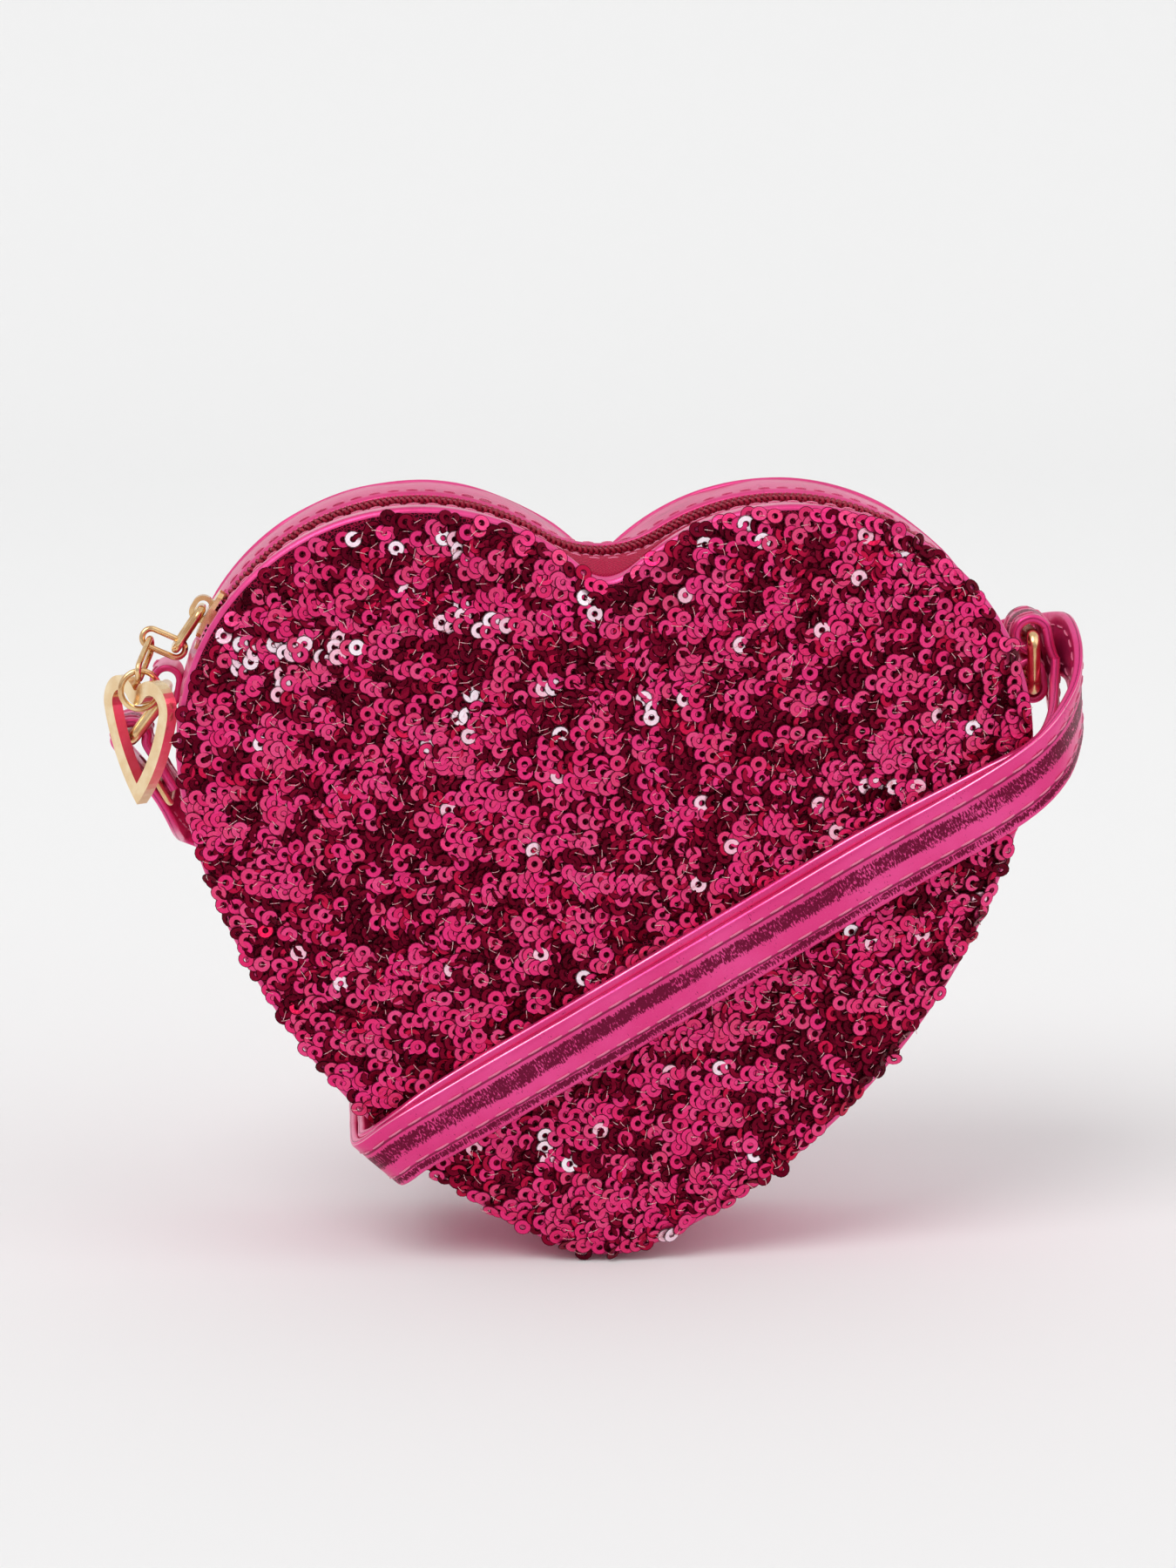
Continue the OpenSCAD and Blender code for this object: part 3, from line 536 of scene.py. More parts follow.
def leather_recipe(name):
    """Metallic coated leather: smooth, with a fine grain, soft dents and a faint cloud of paler sheen."""
    shade = colours()
    recipe = Recipe(name)
    place = recipe.place()
    cloud = recipe.noise(place, 0.07, 3.0)
    worn = recipe.ramp(recipe.noise(place, 0.8, 5.0, 0.7), 0.62, 0.80)
    fine = recipe.noise(place, 5.0, 4.0, 0.65)
    base = recipe.blend(recipe.ramp(cloud, 0.36, 0.70), shade.leather, shade.leather_pale)
    base = recipe.blend(worn * 0.08 + recipe.ramp(fine, 0.56, 0.72) * 0.10, base, (0.95, 0.42, 0.62))
    grain = recipe.cells(place, 2.6)
    dents = recipe.noise(place, 0.14, 2.0)
    normal = recipe.bump(grain * 0.7 + fine * 0.5, 0.05 * MM, 0.5)
    normal = recipe.bump(dents, 0.8 * MM, 0.30, normal)
    return recipe, base, fine, cloud, normal


def unlit(recipe, along, beside, share):
    """Share of painted dark reflection on the film: bands with a comb-like edge of short streaks across the
    strip.
    """
    teeth = recipe.strip_noise(along * 3.4, beside * 1.3, 3.0)
    edge = recipe.strip_noise(along * 0.3, beside * 0.3)
    return recipe.ramp(share + (teeth - 0.5) * 2.4 + (edge - 0.5) * 0.9, 0.36, 0.62)


def leather():
    """The leather of the back, the gusset and the facings, with faint streaks of painted dark reflection and
    creases with painted shade.
    """
    recipe, base, fine, cloud, normal = leather_recipe("pink_metallic_leather")
    streaks = recipe.noise(recipe.stretched(0.05, 0.11, 0.03), 1.0, 3.0, 0.6)
    teeth = recipe.noise(recipe.place(), 2.4, 3.0)
    dark = recipe.ramp(streaks + (teeth - 0.5) * 0.30, 0.50, 0.80)
    lines = recipe.cells(recipe.stretched(0.10, 0.16, 0.07), 1.0, "DISTANCE_TO_EDGE")
    worn = recipe.ramp(recipe.noise(recipe.place(), 0.06, 2.0), 0.48, 0.60)
    creases = recipe.band(lines, 0.0, 0.05) * worn
    # Painted dark reflection in the streaks and painted shade in the creases, both towards the dark leather
    # colour
    base = recipe.blend(dark * 0.30 + creases * 0.12, base, colours().leather_dark)
    return recipe.surface(Base_Color=base, Metallic=0.60, Roughness=0.29 + fine * 0.10 + cloud * 0.08,
                          Coat_Weight=0.35, Coat_Roughness=0.18, Specular_IOR_Level=0.3,
                          Normal=recipe.bump(creases, -0.12 * MM, 0.5, normal))


def strap_leather():
    """The strap's hot pink leather: bands of painted dark reflection below the seams, which are also
    rougher, a line of painted shade in each seam and a painted highlight along the upper edge."""
    strap, dark_film = strap_sizes(), colours().leather_dark
    recipe, base, fine, cloud, normal = leather_recipe("pink_strap_leather")
    along, beside, _ = recipe.split(recipe.along())
    sway = recipe.strip_noise(along * 0.020)
    strong = recipe.ramp(recipe.strip_noise(along * 0.016, 9.0), 0.30, 0.54)
    turned_edge = 0.6
    first_seam = beside - (strap.seam_in / MM + turned_edge)
    second_seam = beside - ((strap.width - strap.seam_in) / MM + turned_edge)
    first = recipe.ramp(first_seam, 0.4, 1.2) * recipe.band(first_seam - sway * 2.4, 2.0, 3.4)
    second = recipe.ramp(second_seam, 0.1, 0.5) * recipe.band(second_seam, 1.1, 2.0)
    # Painted dark reflection: bands below the seams, which also get rougher and lose their coat
    dark = unlit(recipe, along, beside, (first + second) * (0.30 + strong * 0.46))
    # Painted shade: a dark line in each seam groove
    painted_seam_shade = recipe.band(abs(first_seam), 0.10, 0.30) + recipe.band(abs(second_seam), 0.10, 0.30)
    # Painted highlight: a pale line along the strap's upper edge
    painted_edge_highlight = recipe.band(abs(beside - 0.45), 0.02, 0.17) * recipe.ramp(sway, 0.40, 0.55)
    base = recipe.blend(dark * 0.95, base, dark_film)
    base = recipe.blend(painted_seam_shade * 0.80, base, dark_film)
    base = recipe.blend(painted_edge_highlight * 0.45, base, (1.0, 0.70, 0.80))
    return recipe.surface(Base_Color=base, Metallic=0.62, Roughness=0.27 + fine * 0.10 + dark * 0.12,
                          Coat_Weight=0.22 - dark * 0.22, Coat_Roughness=0.20, Specular_IOR_Level=0.25,
                          Normal=recipe.bump(dark, -0.05 * MM, 0.6, normal))


def sequin_film():
    """Metallised film: each sequin's tint, which carries its painted shade and painted glints, clouded, with
    tiny creases and scratches.
    """
    recipe = Recipe("sequin_film")
    tint = recipe.node("ShaderNodeAttribute", {"attribute_name": "tint"}, output="Color")
    place = recipe.place()
    mottle = recipe.noise(place, 2.4, 3.0)
    scratch = recipe.ramp(recipe.noise(place, 7.0, 3.0, 0.7), 0.62, 0.72)
    base = recipe.blend(recipe.ramp(mottle, 0.38, 0.75) * 0.22, tint, (0.34, 0.002, 0.035))
    base = recipe.blend(scratch * 0.06, base, (1.0, 0.55, 0.70))
    crease = recipe.noise(place, 1.1, 2.0)
    return recipe.surface(Base_Color=base, Metallic=0.62, Roughness=0.26 + mottle * 0.14,
                          Specular_IOR_Level=0.05, Normal=recipe.bump(crease, 0.4 * MM, 0.35))


def sequin_thread():
    """The fine pale thread that holds the sequins."""
    recipe = Recipe("sequin_thread")
    fuzz = recipe.noise(recipe.place(), 6.0, 2.0)
    base = recipe.blend(recipe.ramp(fuzz, 0.35, 0.65), (0.62, 0.10, 0.16), (1.0, 0.72, 0.72))
    return recipe.surface(Base_Color=base, Roughness=0.34 + fuzz * 0.1, Specular_IOR_Level=0.5)


def net_cloth():
    """Knitted net under the sequins."""
    recipe = Recipe("sequin_net")
    yarn = recipe.band(recipe.cells(recipe.place(), 1.6, "DISTANCE_TO_EDGE"), 0.04, 0.14)
    # Painted shade: the sheet between the yarns is near black, as the net's openings in shade
    base = recipe.blend(yarn, (0.030, 0.001, 0.006), (0.30, 0.005, 0.04))
    return recipe.surface(Base_Color=base, Roughness=0.75 - yarn * 0.2, Specular_IOR_Level=0.05,
                          Normal=recipe.bump(yarn, 0.15 * MM, 0.6))


def tape_cloth():
    """Zip tape: twill in two mirrored diagonals."""
    recipe = Recipe("zip_tape_twill")
    along, across, _ = recipe.split(recipe.along())
    fold = abs((across * 0.5).frac() - 0.5) * 2.0
    ribs = ((along * 1.25) + fold * 1.3).wave() * 0.5 + 0.5
    yarns = (across * 3.2).wave() * 0.5 + 0.5
    fuzz = recipe.noise(recipe.place(), 4.0, 4.0, 0.7)
    height = ribs * 0.7 + yarns * 0.25 + fuzz * 0.2
    lit = recipe.ramp(ribs * 0.7 + fuzz * 0.5, 0.25, 0.95)
    base = recipe.blend(lit, (0.34, 0.008, 0.045), colours().tape)
    base = recipe.blend(recipe.ramp(fuzz, 0.55, 0.85) * 0.25, base, (0.74, 0.07, 0.19))
    return recipe.surface(Base_Color=base, Roughness=0.78 + fuzz * 0.15, Sheen_Weight=0.04,
                          Specular_IOR_Level=0.15, Normal=recipe.bump(height, 0.22 * MM, 0.8))


def coil_nylon():
    """Dark red nylon of the coils."""
    recipe = Recipe("zip_nylon")
    flow = recipe.noise(recipe.place(), 1.4, 3.0)
    base = recipe.blend(recipe.ramp(flow, 0.35, 0.8), colours().coil, (0.46, 0.015, 0.06))
    return recipe.surface(Base_Color=base, Roughness=0.36 + flow * 0.16, Specular_IOR_Level=0.22,
                          Normal=recipe.bump(flow, 0.05 * MM, 0.4))


def lining_cloth():
    """Plain weave lining."""
    recipe = Recipe("lining_weave")
    x, y, z = recipe.split(recipe.place())
    weave = (x * 2.2).wave() * (z * 2.2 + y * 2.2).wave()
    fuzz = recipe.noise(recipe.place(), 1.2, 4.0)
    base = recipe.blend(recipe.ramp(weave * 0.3 + fuzz, 0.2, 1.0), colours().lining, (0.42, 0.03, 0.10))
    return recipe.surface(Base_Color=base, Roughness=0.62 + fuzz * 0.2, Sheen_Weight=0.2,
                          Normal=recipe.bump(weave * 0.5 + fuzz * 0.3, 0.12 * MM, 0.6))


def sewing_thread():
    """Twisted thread of the seams."""
    recipe = Recipe("sewing_thread")
    x, y, z = recipe.split(recipe.place())
    twist = ((x + y * 0.7 + z) * 3.4).wave() * 0.5 + 0.5
    # Painted shade: the colour darkens where the twist's bump sinks, between the plies
    base = recipe.blend(twist, (0.58, 0.05, 0.17), colours().thread)
    return recipe.surface(Base_Color=base, Roughness=0.42 + twist * 0.1, Sheen_Weight=0.15,
                          Normal=recipe.bump(twist, 0.1 * MM, 0.5))


def plating(name, light, dark):
    """Gold plating with polishing marks and a few paler, worn places, and darker gold laid in soft random
    clouds as painted shade.
    """
    recipe = Recipe(name)
    cloud = recipe.noise(recipe.place(), 0.35, 3.0)
    marks = recipe.noise(recipe.stretched(5.0, 5.0, 0.8), 1.0, 3.0, 0.7)
    # Painted shade: the darker gold, laid by a random cloud
    base = recipe.blend(recipe.ramp(cloud, 0.30, 0.75), dark, light)
    base = recipe.blend(recipe.ramp(marks, 0.62, 0.85) * 0.4, base, (1.0, 0.86, 0.66))
    return recipe.surface(Base_Color=base, Metallic=1.0, Roughness=0.13 + marks * 0.12 + cloud * 0.06,
                          Normal=recipe.bump(marks, 0.02 * MM, 0.3))


def charm_gold():
    return plating("pale_gold_plate", colours().gold, colours().gold_dark)


def wire_gold():
    return plating("gold_wire_plate", colours().wire, colours().wire_dark)


MATERIALS = {"leather": leather, "strap": strap_leather, "film": sequin_film, "fine_thread": sequin_thread,
             "net": net_cloth, "tape": tape_cloth, "coil": coil_nylon, "lining": lining_cloth,
             "thread": sewing_thread, "gold": charm_gold, "gold_wire": wire_gold}
_made = {}


def material(kind):
    """The material of that kind, made when it is first asked for."""
    if kind not in _made:
        _made[kind] = MATERIALS[kind]()
    return _made[kind]


# Panels and sequins


def panel_profile(shape, lift, face_from):
    """(inset, y) from the seam with the side wall, round the rolled edge and over the crowned face."""
    roll = [(0.5, 0.25), (0.05, 0.08), (-0.22, -0.25), (-0.30, -0.65), (-0.20, -1.05), (0.05, -1.42),
            (0.5, -1.66)]
    rows = [(inset * MM, -shape.inner_y + y * MM) for inset, y in roll]
    for share in (0.0, 0.10, 0.18, 0.28, 0.40, 0.55, 0.70, 0.85, 1.0):
        inset = face_from + (0.92 * shape.size.tip_r - face_from) * share
        rows.append((inset, -shape.edge_y - lift - shape.swell(inset)))
    return rows


def panel_mesh(name, shape, profile, mirror=1):
    """A closed skin over the heart outlines at each (inset, y) of a profile, for the back with mirror -1."""
    rings = [at_depth(shape.outline(inset), mirror * y) for inset, y in profile]
    return facing_out(closed_rims(loft(name, rings, closed_across=False, closed_along=True)))


class PURSE_OT_panels(bpy.types.Operator):
    """Covers both stiff panels: a rolled leather edge round a crowned face, with a seam on the back"""

    bl_idname = "purse.panels"
    bl_label = "Panels"

    def execute(self, context):
        shape, face_from, seam_in = heart(), 1.5 * MM, 3.2 * MM
        cover = panel_profile(shape, -0.15 * MM, face_from)
        front = add_piece(panel_mesh("front_panel", shape, cover), "leather", "front_padding")
        mesh = panel_mesh("back_panel", shape, panel_profile(shape, 0.75 * MM, face_from), mirror=-1)
        dimple(mesh, 0.35 * MM, 0.020, seed=3)
        back = add_piece(mesh, "leather", "back_padding", "back_cover")
        seam = at_depth(shape.outline(seam_in), shape.edge_y + 0.72 * MM + shape.swell(seam_in))
        sewn("back_panel_seam", [[(point, ACROSS) for point in seam + seam[:1]]])
        return {"FINISHED"}


class Face:
    """The front's crowned face: how far in a place lies, how high it is and which way it looks."""

    def __init__(self, shape):
        self.shape = shape
        self.start = np.array(shape.outline(0.0))
        self.end = np.roll(self.start, -1, axis=0)
        self.way = self.end - self.start

    def inset(self, x, z):
        """How far in from the outline a place lies, below zero outside."""
        to = np.array([x, z]) - self.start
        share = np.clip((to * self.way).sum(1) / (self.way ** 2).sum(1), 0, 1)
        gap = to - share[:, None] * self.way
        near = math.sqrt((gap ** 2).sum(1).min())
        a, b = self.start, self.end
        cross = ((a[:, 1] > z) != (b[:, 1] > z))
        at = a[:, 0] + (z - a[:, 1]) * (b[:, 0] - a[:, 0]) / np.where(cross, b[:, 1] - a[:, 1], 1)
        return near if int((cross & (x < at)).sum()) % 2 else -near

    def height(self, x, z):
        return self.shape.swell(self.inset(x, z))

    def normal(self, x, z, here, inset):
        """The way out of the face, which leans further over its rolled edge."""
        step, edge_width, edge_lean = 0.8 * MM, 2.2 * MM, 2.2
        lean = (1 + edge_lean * smooth_step(-inset, -edge_width, 0.0)) / step
        slope_x = (self.height(x + step, z) - here) * lean
        slope_z = (self.height(x, z + step) - here) * lean
        return Vector((-slope_x, -1.0, -slope_z)).normalized()


def shaded_share(x, z):
    """Share of the sequins near a place that turn away from the light, in drifts a few rows wide."""
    few_rows, one_row, large, least, more = 0.0056, 0.0027, 0.026, 0.14, 0.77
    drift = noise.noise(Vector((x, 0, z * 1.2)) / few_rows) + 0.6 * noise.noise(Vector((x, 5, z)) / one_row)
    wide = noise.noise(Vector((x, 9, z)) / large)
    return least + more * smooth_step(drift + 0.40 * wide, -0.44, 0.38)


def glint_share(x, z):
    """Share of the sequins near a place that catch the light, in patches and most at the upper left."""
    patch, least, more = 0.015, 0.022, 0.42
    drift = noise.noise(Vector((x - z, 3, x + z)) / patch)
    high = smooth_step(z, -0.012, 0.022) * smooth_step(-x, -0.030, 0.020)
    return least + more * smooth_step(0.7 * drift + 0.36 * high, 0.16, 0.70)


def sequin_tint(look, shaded, glint, chance):
    """Colour of one sequin: hot pink, or deep red as painted shade where it turns away; a few get a painted
    glint, and the rest a slight painted sheen.
    """
    film, deep = Vector(look.film), Vector(look.deep)
    warm, pale = Vector(look.warm), Vector(look.pale)
    # Painted shade: the sequins that turn away get the deep colour
    if shaded:
        if chance.random() < 0.20:
            return deep.lerp(warm, chance.uniform(0.4, 0.9))
        return deep * chance.uniform(0.2, 1.0) + warm * chance.uniform(0.0, 0.20)
    # Painted glint for a few lit sequins, and a slight painted sheen towards the pale colour for the rest
    if chance.random() < glint:
        return film.lerp(pale, chance.uniform(0.55, 1.0)) * 1.15
    return film.lerp(warm, chance.uniform(0.0, 0.5)).lerp(pale, 0.06 * chance.random() ** 2)


def ring_of(radius, hole, sides):
    """Points and faces of one sequin about its own middle, with its face along -Y, and each face's painted
    shade: a flat ring with pressed lips at its edge and its hole, painted darker as the shade in the gaps
    between sequins, with near black walls and a somewhat darker back."""
    rows = [(hole, 0.07), (hole + 0.12 * MM, -0.02), (radius - 0.16 * MM, 0.0), (radius, 0.08),
            (radius, 0.15), (hole, 0.15)]
    # Painted shade of each band of faces: the darker lips, the near black walls and the darker back
    painted_shades = (0.18, 1.0, 0.12, 0.05, 0.55, 0.05)
    turns = [math.tau * side / sides for side in range(sides)]
    points = [Vector((r * math.cos(turn), y * MM, r * math.sin(turn))) for r, y in rows for turn in turns]
    faces = [tuple(index % len(points) for index in (a, d, c, b))
             for a, b, c, d in ring_faces(0, len(rows) + 1, sides)]
    return points, faces, [shade for shade in painted_shades for _ in range(sides)]


def strand(points, faces, at, basis, look, chance):
    """A fine thread from a sequin's hole over its face to its edge."""
    half, sides, arch = 0.075 * MM, 3, ((0.05, 0.0), (0.35, 0.40), (0.75, 0.36), (1.0, 0.0))
    reach = look.sequin_d / 2 * chance.uniform(0.8, 1.5)
    turn = chance.gauss(0, 0.35) + (math.pi if chance.random() < 0.5 else 0)
    way = Vector((math.cos(turn), 0, math.sin(turn)))
    side = Vector((-way.z, 0, way.x))
    faces += ring_faces(len(points), len(arch), sides)
    for share, rise in arch:
        centre = way * reach * share - ACROSS * rise * MM
        points += [at + basis @ point for point in ring_points(centre, half, side, -ACROSS, sides)]


class PURSE_OT_sequins(bpy.types.Operator):
    """Sews overlapping rows of ring sequins and their threads onto a net over the front"""

    bl_idname = "purse.sequins"
    bl_label = "Sequins"

    ROW_TURN = math.radians(-6)
    # Sequins that turn away from the light and the others: the mean and the spread of their lean and the
    # spread of their turn in degrees, how high they stand in mm, and the share that shows its thread
    AWAY = {"lean": (20, 8), "turn": 60, "height": (0.35, 0.70), "threads": 0.55}
    LIT = {"lean": (9, 4), "turn": 26, "height": (0.70, 1.05), "threads": 0.22}

    def execute(self, context):
        look, shape = sequin_look(), heart()
        self.net(shape)
        face, chance = Face(shape), random.Random(look.seed)
        ring, skin, painted_shading = ring_of(look.sequin_d / 2, look.hole_d / 2, sides=14)
        points, faces, tints, thread_points, thread_faces = [], [], [], [], []
        for x, z in self.places(look, chance):
            inset = face.inset(x, z)
            if inset < self.rim(x, z, chance):
                continue
            here = shape.swell(inset)
            shaded = chance.random() < shaded_share(x, z)
            kind = self.AWAY if shaded else self.LIT
            lean = math.radians(chance.gauss(*kind["lean"]))
            basis = self.turned(face.normal(x, z, here, inset), lean, kind, chance)
            lift = 0.125 * look.sequin_d * math.sin(abs(lean)) + chance.uniform(*kind["height"]) * MM
            at = Vector((x, -shape.edge_y - here - lift, z))
            grow = chance.uniform(0.95, 1.04)
            first = len(points)
            points += [at + basis @ (point * grow) for point in ring]
            faces += [tuple(first + index for index in corners) for corners in skin]
            tint = sequin_tint(look, shaded, glint_share(x, z), chance)
            # Painted shade: each face's tint is darkened by its band of the ring
            tints += [tint * painted_shade_factor for painted_shade_factor in painted_shading]
            if chance.random() < kind["threads"]:
                strand(thread_points, thread_faces, at, basis, look, chance)
        mesh = finish_mesh("front_sequins", points, faces, smooth=False)
        layer = mesh.attributes.new("tint", "FLOAT_COLOR", "FACE")
        layer.data.foreach_set("color", [c for tint in tints for c in (*tint, 1.0)])
        add_piece(mesh, "film", "sequin_cloth")
        add_piece(finish_mesh("sequin_threads", thread_points, thread_faces), "fine_thread")
        return {"FINISHED"}

    def net(self, shape):
        """The net that the sequins are sewn to, from its folded edge over the face."""
        rows = [(0.7 * MM, -shape.edge_y + 0.1 * MM)]
        for inset in (0.7 * MM, 1.6 * MM, 4 * MM, 7 * MM, 12 * MM, 16 * MM, 19.5 * MM):
            rows.append((inset, -shape.edge_y - 0.25 * MM - shape.swell(inset)))
        add_piece(panel_mesh("sequin_net", shape, rows), "net")

    def places(self, look, chance):
        """Places (x, z) over the whole front in wavy rows from the top, each a little off its row."""
        top, span, side_steps, spare_rows = 0.040, 0.150, 52, 3
        wave, wave_length, wave_shift = 1.3 * MM, 0.011, 0.35
        off_along, off_down = 0.26 * MM, 0.28 * MM
        for row in range(1 - spare_rows, int(span / look.row_step) + spare_rows):
            wander = chance.uniform(-0.5, 0.5)
            for step in range(-side_steps, side_steps + 1):
                u = (step + 0.5 * (row % 2) + wander) * look.along_step + chance.gauss(0, off_along)
                v = top - row * look.row_step + chance.gauss(0, off_down)
                v += wave * math.sin(u / wave_length + row * wave_shift)
                yield (u * math.cos(self.ROW_TURN) - v * math.sin(self.ROW_TURN),
                       u * math.sin(self.ROW_TURN) + v * math.cos(self.ROW_TURN))

    def rim(self, x, z, chance):
        """How far in from the edge the outermost sequins lie: the leather shows at the upper left."""
        bare = smooth_step(z, 0.0, 0.012) * smooth_step(-x, 0.030, 0.052)
        high = smooth_step(z, -0.010, 0.010) * smooth_step(-x, -0.004, 0.018)
        return (chance.uniform(-0.25, 0.75) + 0.8 * high + 1.0 * bare) * MM

    def turned(self, out, lean, kind, chance):
        """How a sequin lies that faces out of the cloth, turned in its face and leaning on the next."""
        turn = self.ROW_TURN + math.radians(chance.gauss(0, kind["turn"]))
        across = Vector((math.cos(turn), 0, math.sin(turn)))
        across = (across - across.dot(out) * out).normalized()
        basis = Matrix((across, -out, out.cross(across).normalized())).transposed()
        nod = Matrix.Rotation(math.radians(chance.gauss(0, 7)), 3, "X")
        return basis @ Matrix.Rotation(lean, 3, "Z") @ nod


# Side wall and zip


def with_out(points):
    """Pairs of each point of an outline path and the way out of the bag there."""
    last = len(points) - 1
    ways = [(points[min(i + 1, last)] - points[max(i - 1, 0)]).normalized() for i in range(last + 1)]
    return [(point, way.cross(ACROSS)) for point, way in zip(points, ways)]


class PURSE_OT_gusset(bpy.types.Operator):
    """Bends the leather side wall round the heart below the zip, with a seam beside each panel"""

    bl_idname = "purse.gusset"
    bl_label = "Gusset"

    def execute(self, context):
        shape = heart()
        size, reach, steps, seam_in = shape.size, shape.seam_y, 12, 2.4 * MM
        tuck_in, slack = 0.55 * MM, 0.08 * MM
        lines = []
        for step in range(-steps, steps + 1):
            share = step / steps
            tuck = tuck_in * smooth_step(abs(share), 0.90, 1.0)
            swell = (size.gusset_crown - slack) * (1 - share * share)
            lines.append(at_depth(shape.low_path(tuck - swell), share * reach))
        lines += [at_depth(shape.low_path(size.gusset_t), share * reach) for share in (1, 0.4, -0.4, -1)]
        mesh = facing_out(loft("gusset_cover", lines, caps=True))
        dimple(mesh, 0.30 * MM, 0.016, seed=5)
        add_piece(mesh, "leather", "gusset")
        share = 1 - seam_in / reach
        line = shape.low_path(-size.gusset_crown * (1 - share * share) - 0.05 * MM)
        sewn("gusset_seams", [with_out(at_depth(line, side * share * reach)) for side in (-1, 1)])
        return {"FINISHED"}


def mixed(a, b, share):
    return [p.lerp(q, share) for p, q in zip(a, b)]


class Zip:
    """The lines that the facings, the tapes and the rows follow, for the front with side -1 or the back."""

    def __init__(self, shape, side):
        size = shape.size
        self.shape, self.side, self.size = shape, side, size
        self.facing_y = size.row_gap / 2 + size.row_w + size.tape_show
        hem_width = 2.0 * MM
        self.tape_share = hem_width / (shape.inner_y - self.facing_y)

    def at(self, inset, y, dip=None):
        """A line over the lobes, so far in from their outline and so far out from the middle."""
        dip = self.size.zip_dip_r if dip is None else dip
        return at_depth(self.shape.top_path(inset, dip), self.side * y)

    def facing_line(self, share, lift=0.0):
        """A line on the facing: share 0 at the panel's seam, 1 at the fold beside the tape."""
        size = self.size
        fold_rise = 0.84 * MM
        outer = self.at(-lift, self.shape.seam_y, size.dip_r)
        fold = self.at(size.zip_sink - fold_rise - lift, self.facing_y)
        return mixed(outer, fold, share)


class PURSE_OT_zip(bpy.types.Operator):
    """Builds the zip: facings with sewn folds, woven tapes, two coils of nylon and their seams"""

    bl_idname = "purse.zip"
    bl_label = "Zip"

    def execute(self, context):
        shape = heart()
        for side, name in ((-1, "front"), (1, "back")):
            zipper = Zip(shape, side)
            self.facing(zipper, name)
            self.tape(zipper, name)
            self.coil(zipper, name)
        self.dip_tape(Zip(shape, -1))
        return {"FINISHED"}

    @staticmethod
    def swell(share):
        """How far the padded facing stands out between its seam and its fold, which turns down."""
        padding, turned_down = 0.30 * MM, 0.4 * MM
        return padding * math.sin(math.pi * share) - turned_down * smooth_step(share, 0.93, 1)

    def facing(self, zipper, name):
        """One facing, with a seam beside its fold."""
        size, seam_share, seam_lift = zipper.size, 0.82, 0.17 * MM
        lines = [zipper.facing_line(share, self.swell(share))
                 for share in (0, 0.05, 0.12, 0.24, 0.38, 0.52, 0.66, 0.76, 0.84, 0.90, 0.95, 0.985, 1)]
        lines.append(zipper.at(size.zip_sink - 0.03 * MM, zipper.facing_y + 0.1 * MM))
        lines.append(zipper.at(size.gusset_t, zipper.shape.seam_y, size.dip_r))
        mesh = facing_out(loft("facing_" + name, lines, caps=True))
        dimple(mesh, 0.16 * MM, 0.012, seed=8)
        add_piece(mesh, "leather", "zip_facing_" + name)
        sewn("facing_seam_" + name, [with_out(zipper.facing_line(seam_share, seam_lift))])

    def dip_tape(self, zipper):
        """The wide part of the front tape, which covers the facing at the dip of the heart."""
        reach, steps, covered, hem, thick, above = 19.0 * MM, 8, 0.86, 0.02, 0.3 * MM, 0.12 * MM
        kept = [(index, 1 - (point.x / reach) ** 2)
                for index, point in enumerate(zipper.facing_line(0.5)) if abs(point.x) < reach]
        upper, lower = [], []
        for step in range(steps + 1):
            places = [(1 - (covered * wide + hem) * step / steps, index) for index, wide in kept]
            for lines, lift in ((upper, above), (lower, above - thick)):
                lines.append([zipper.facing_line(share, lift + self.swell(share))[index]
                              for share, index in places])
        add_piece(facing_out(loft("tape_dip", upper + lower[::-1], caps=True)), "tape", "zip_tape_front")

    def tape(self, zipper, name):
        """One tape from its row to its hem under the facing."""
        size, steps = zipper.size, 12
        ys = [zipper.facing_y - (zipper.facing_y - size.row_gap / 2) * k / steps for k in range(steps + 1)]
        faces = []
        for deep in (0.0, size.tape_t):
            under = zipper.at(size.gusset_t + deep, zipper.shape.inner_y, size.dip_r)
            hem = mixed(zipper.at(size.zip_sink + deep, zipper.facing_y), under, zipper.tape_share)
            faces.append([hem] + [zipper.at(size.zip_sink + deep, y) for y in ys])
        upper, lower = faces
        mesh = facing_out(loft("tape_" + name, upper + lower[::-1], caps=True))
        add_piece(mesh, "tape", "zip_tape_" + name)
        beside = size.row_gap / 2 + size.row_w + 0.8 * MM
        sewn("tape_seam_" + name, [with_out(zipper.at(size.zip_sink, beside))], pitch=1.9 * MM)

    def coil(self, zipper, name):
        """A flattened helix of nylon along the row, its turns half a pitch apart on the two sides."""
        size, turn_steps, high_all = zipper.size, 12, 1.3 * MM
        row = zipper.at(size.zip_sink, size.row_gap / 2 + size.row_w / 2)
        half_w = (size.row_w - size.coil_wire) / 2
        half_h = (high_all - size.coil_wire) / 2
        centres = []
        for index, (at, _, out) in enumerate(resampled(with_out(row), size.coil_pitch / turn_steps)):
            turn = math.tau * index / turn_steps + (math.pi if zipper.side > 0 else 0)
            wide, high = self.flattened(math.cos(turn)), self.flattened(math.sin(turn))
            centres.append(at + ACROSS * half_w * wide + out * (half_h * (1 + high) + size.coil_wire / 2))
        add_piece(tube("coil_" + name, centres, size.coil_wire / 2, 6), "coil", "zip_coil_" + name)

    @staticmethod
    def flattened(part):
        """Pushes a sine or cosine towards 1 and -1, which gives the round a boxy shape."""
        return math.copysign(abs(part) ** 0.6, part)


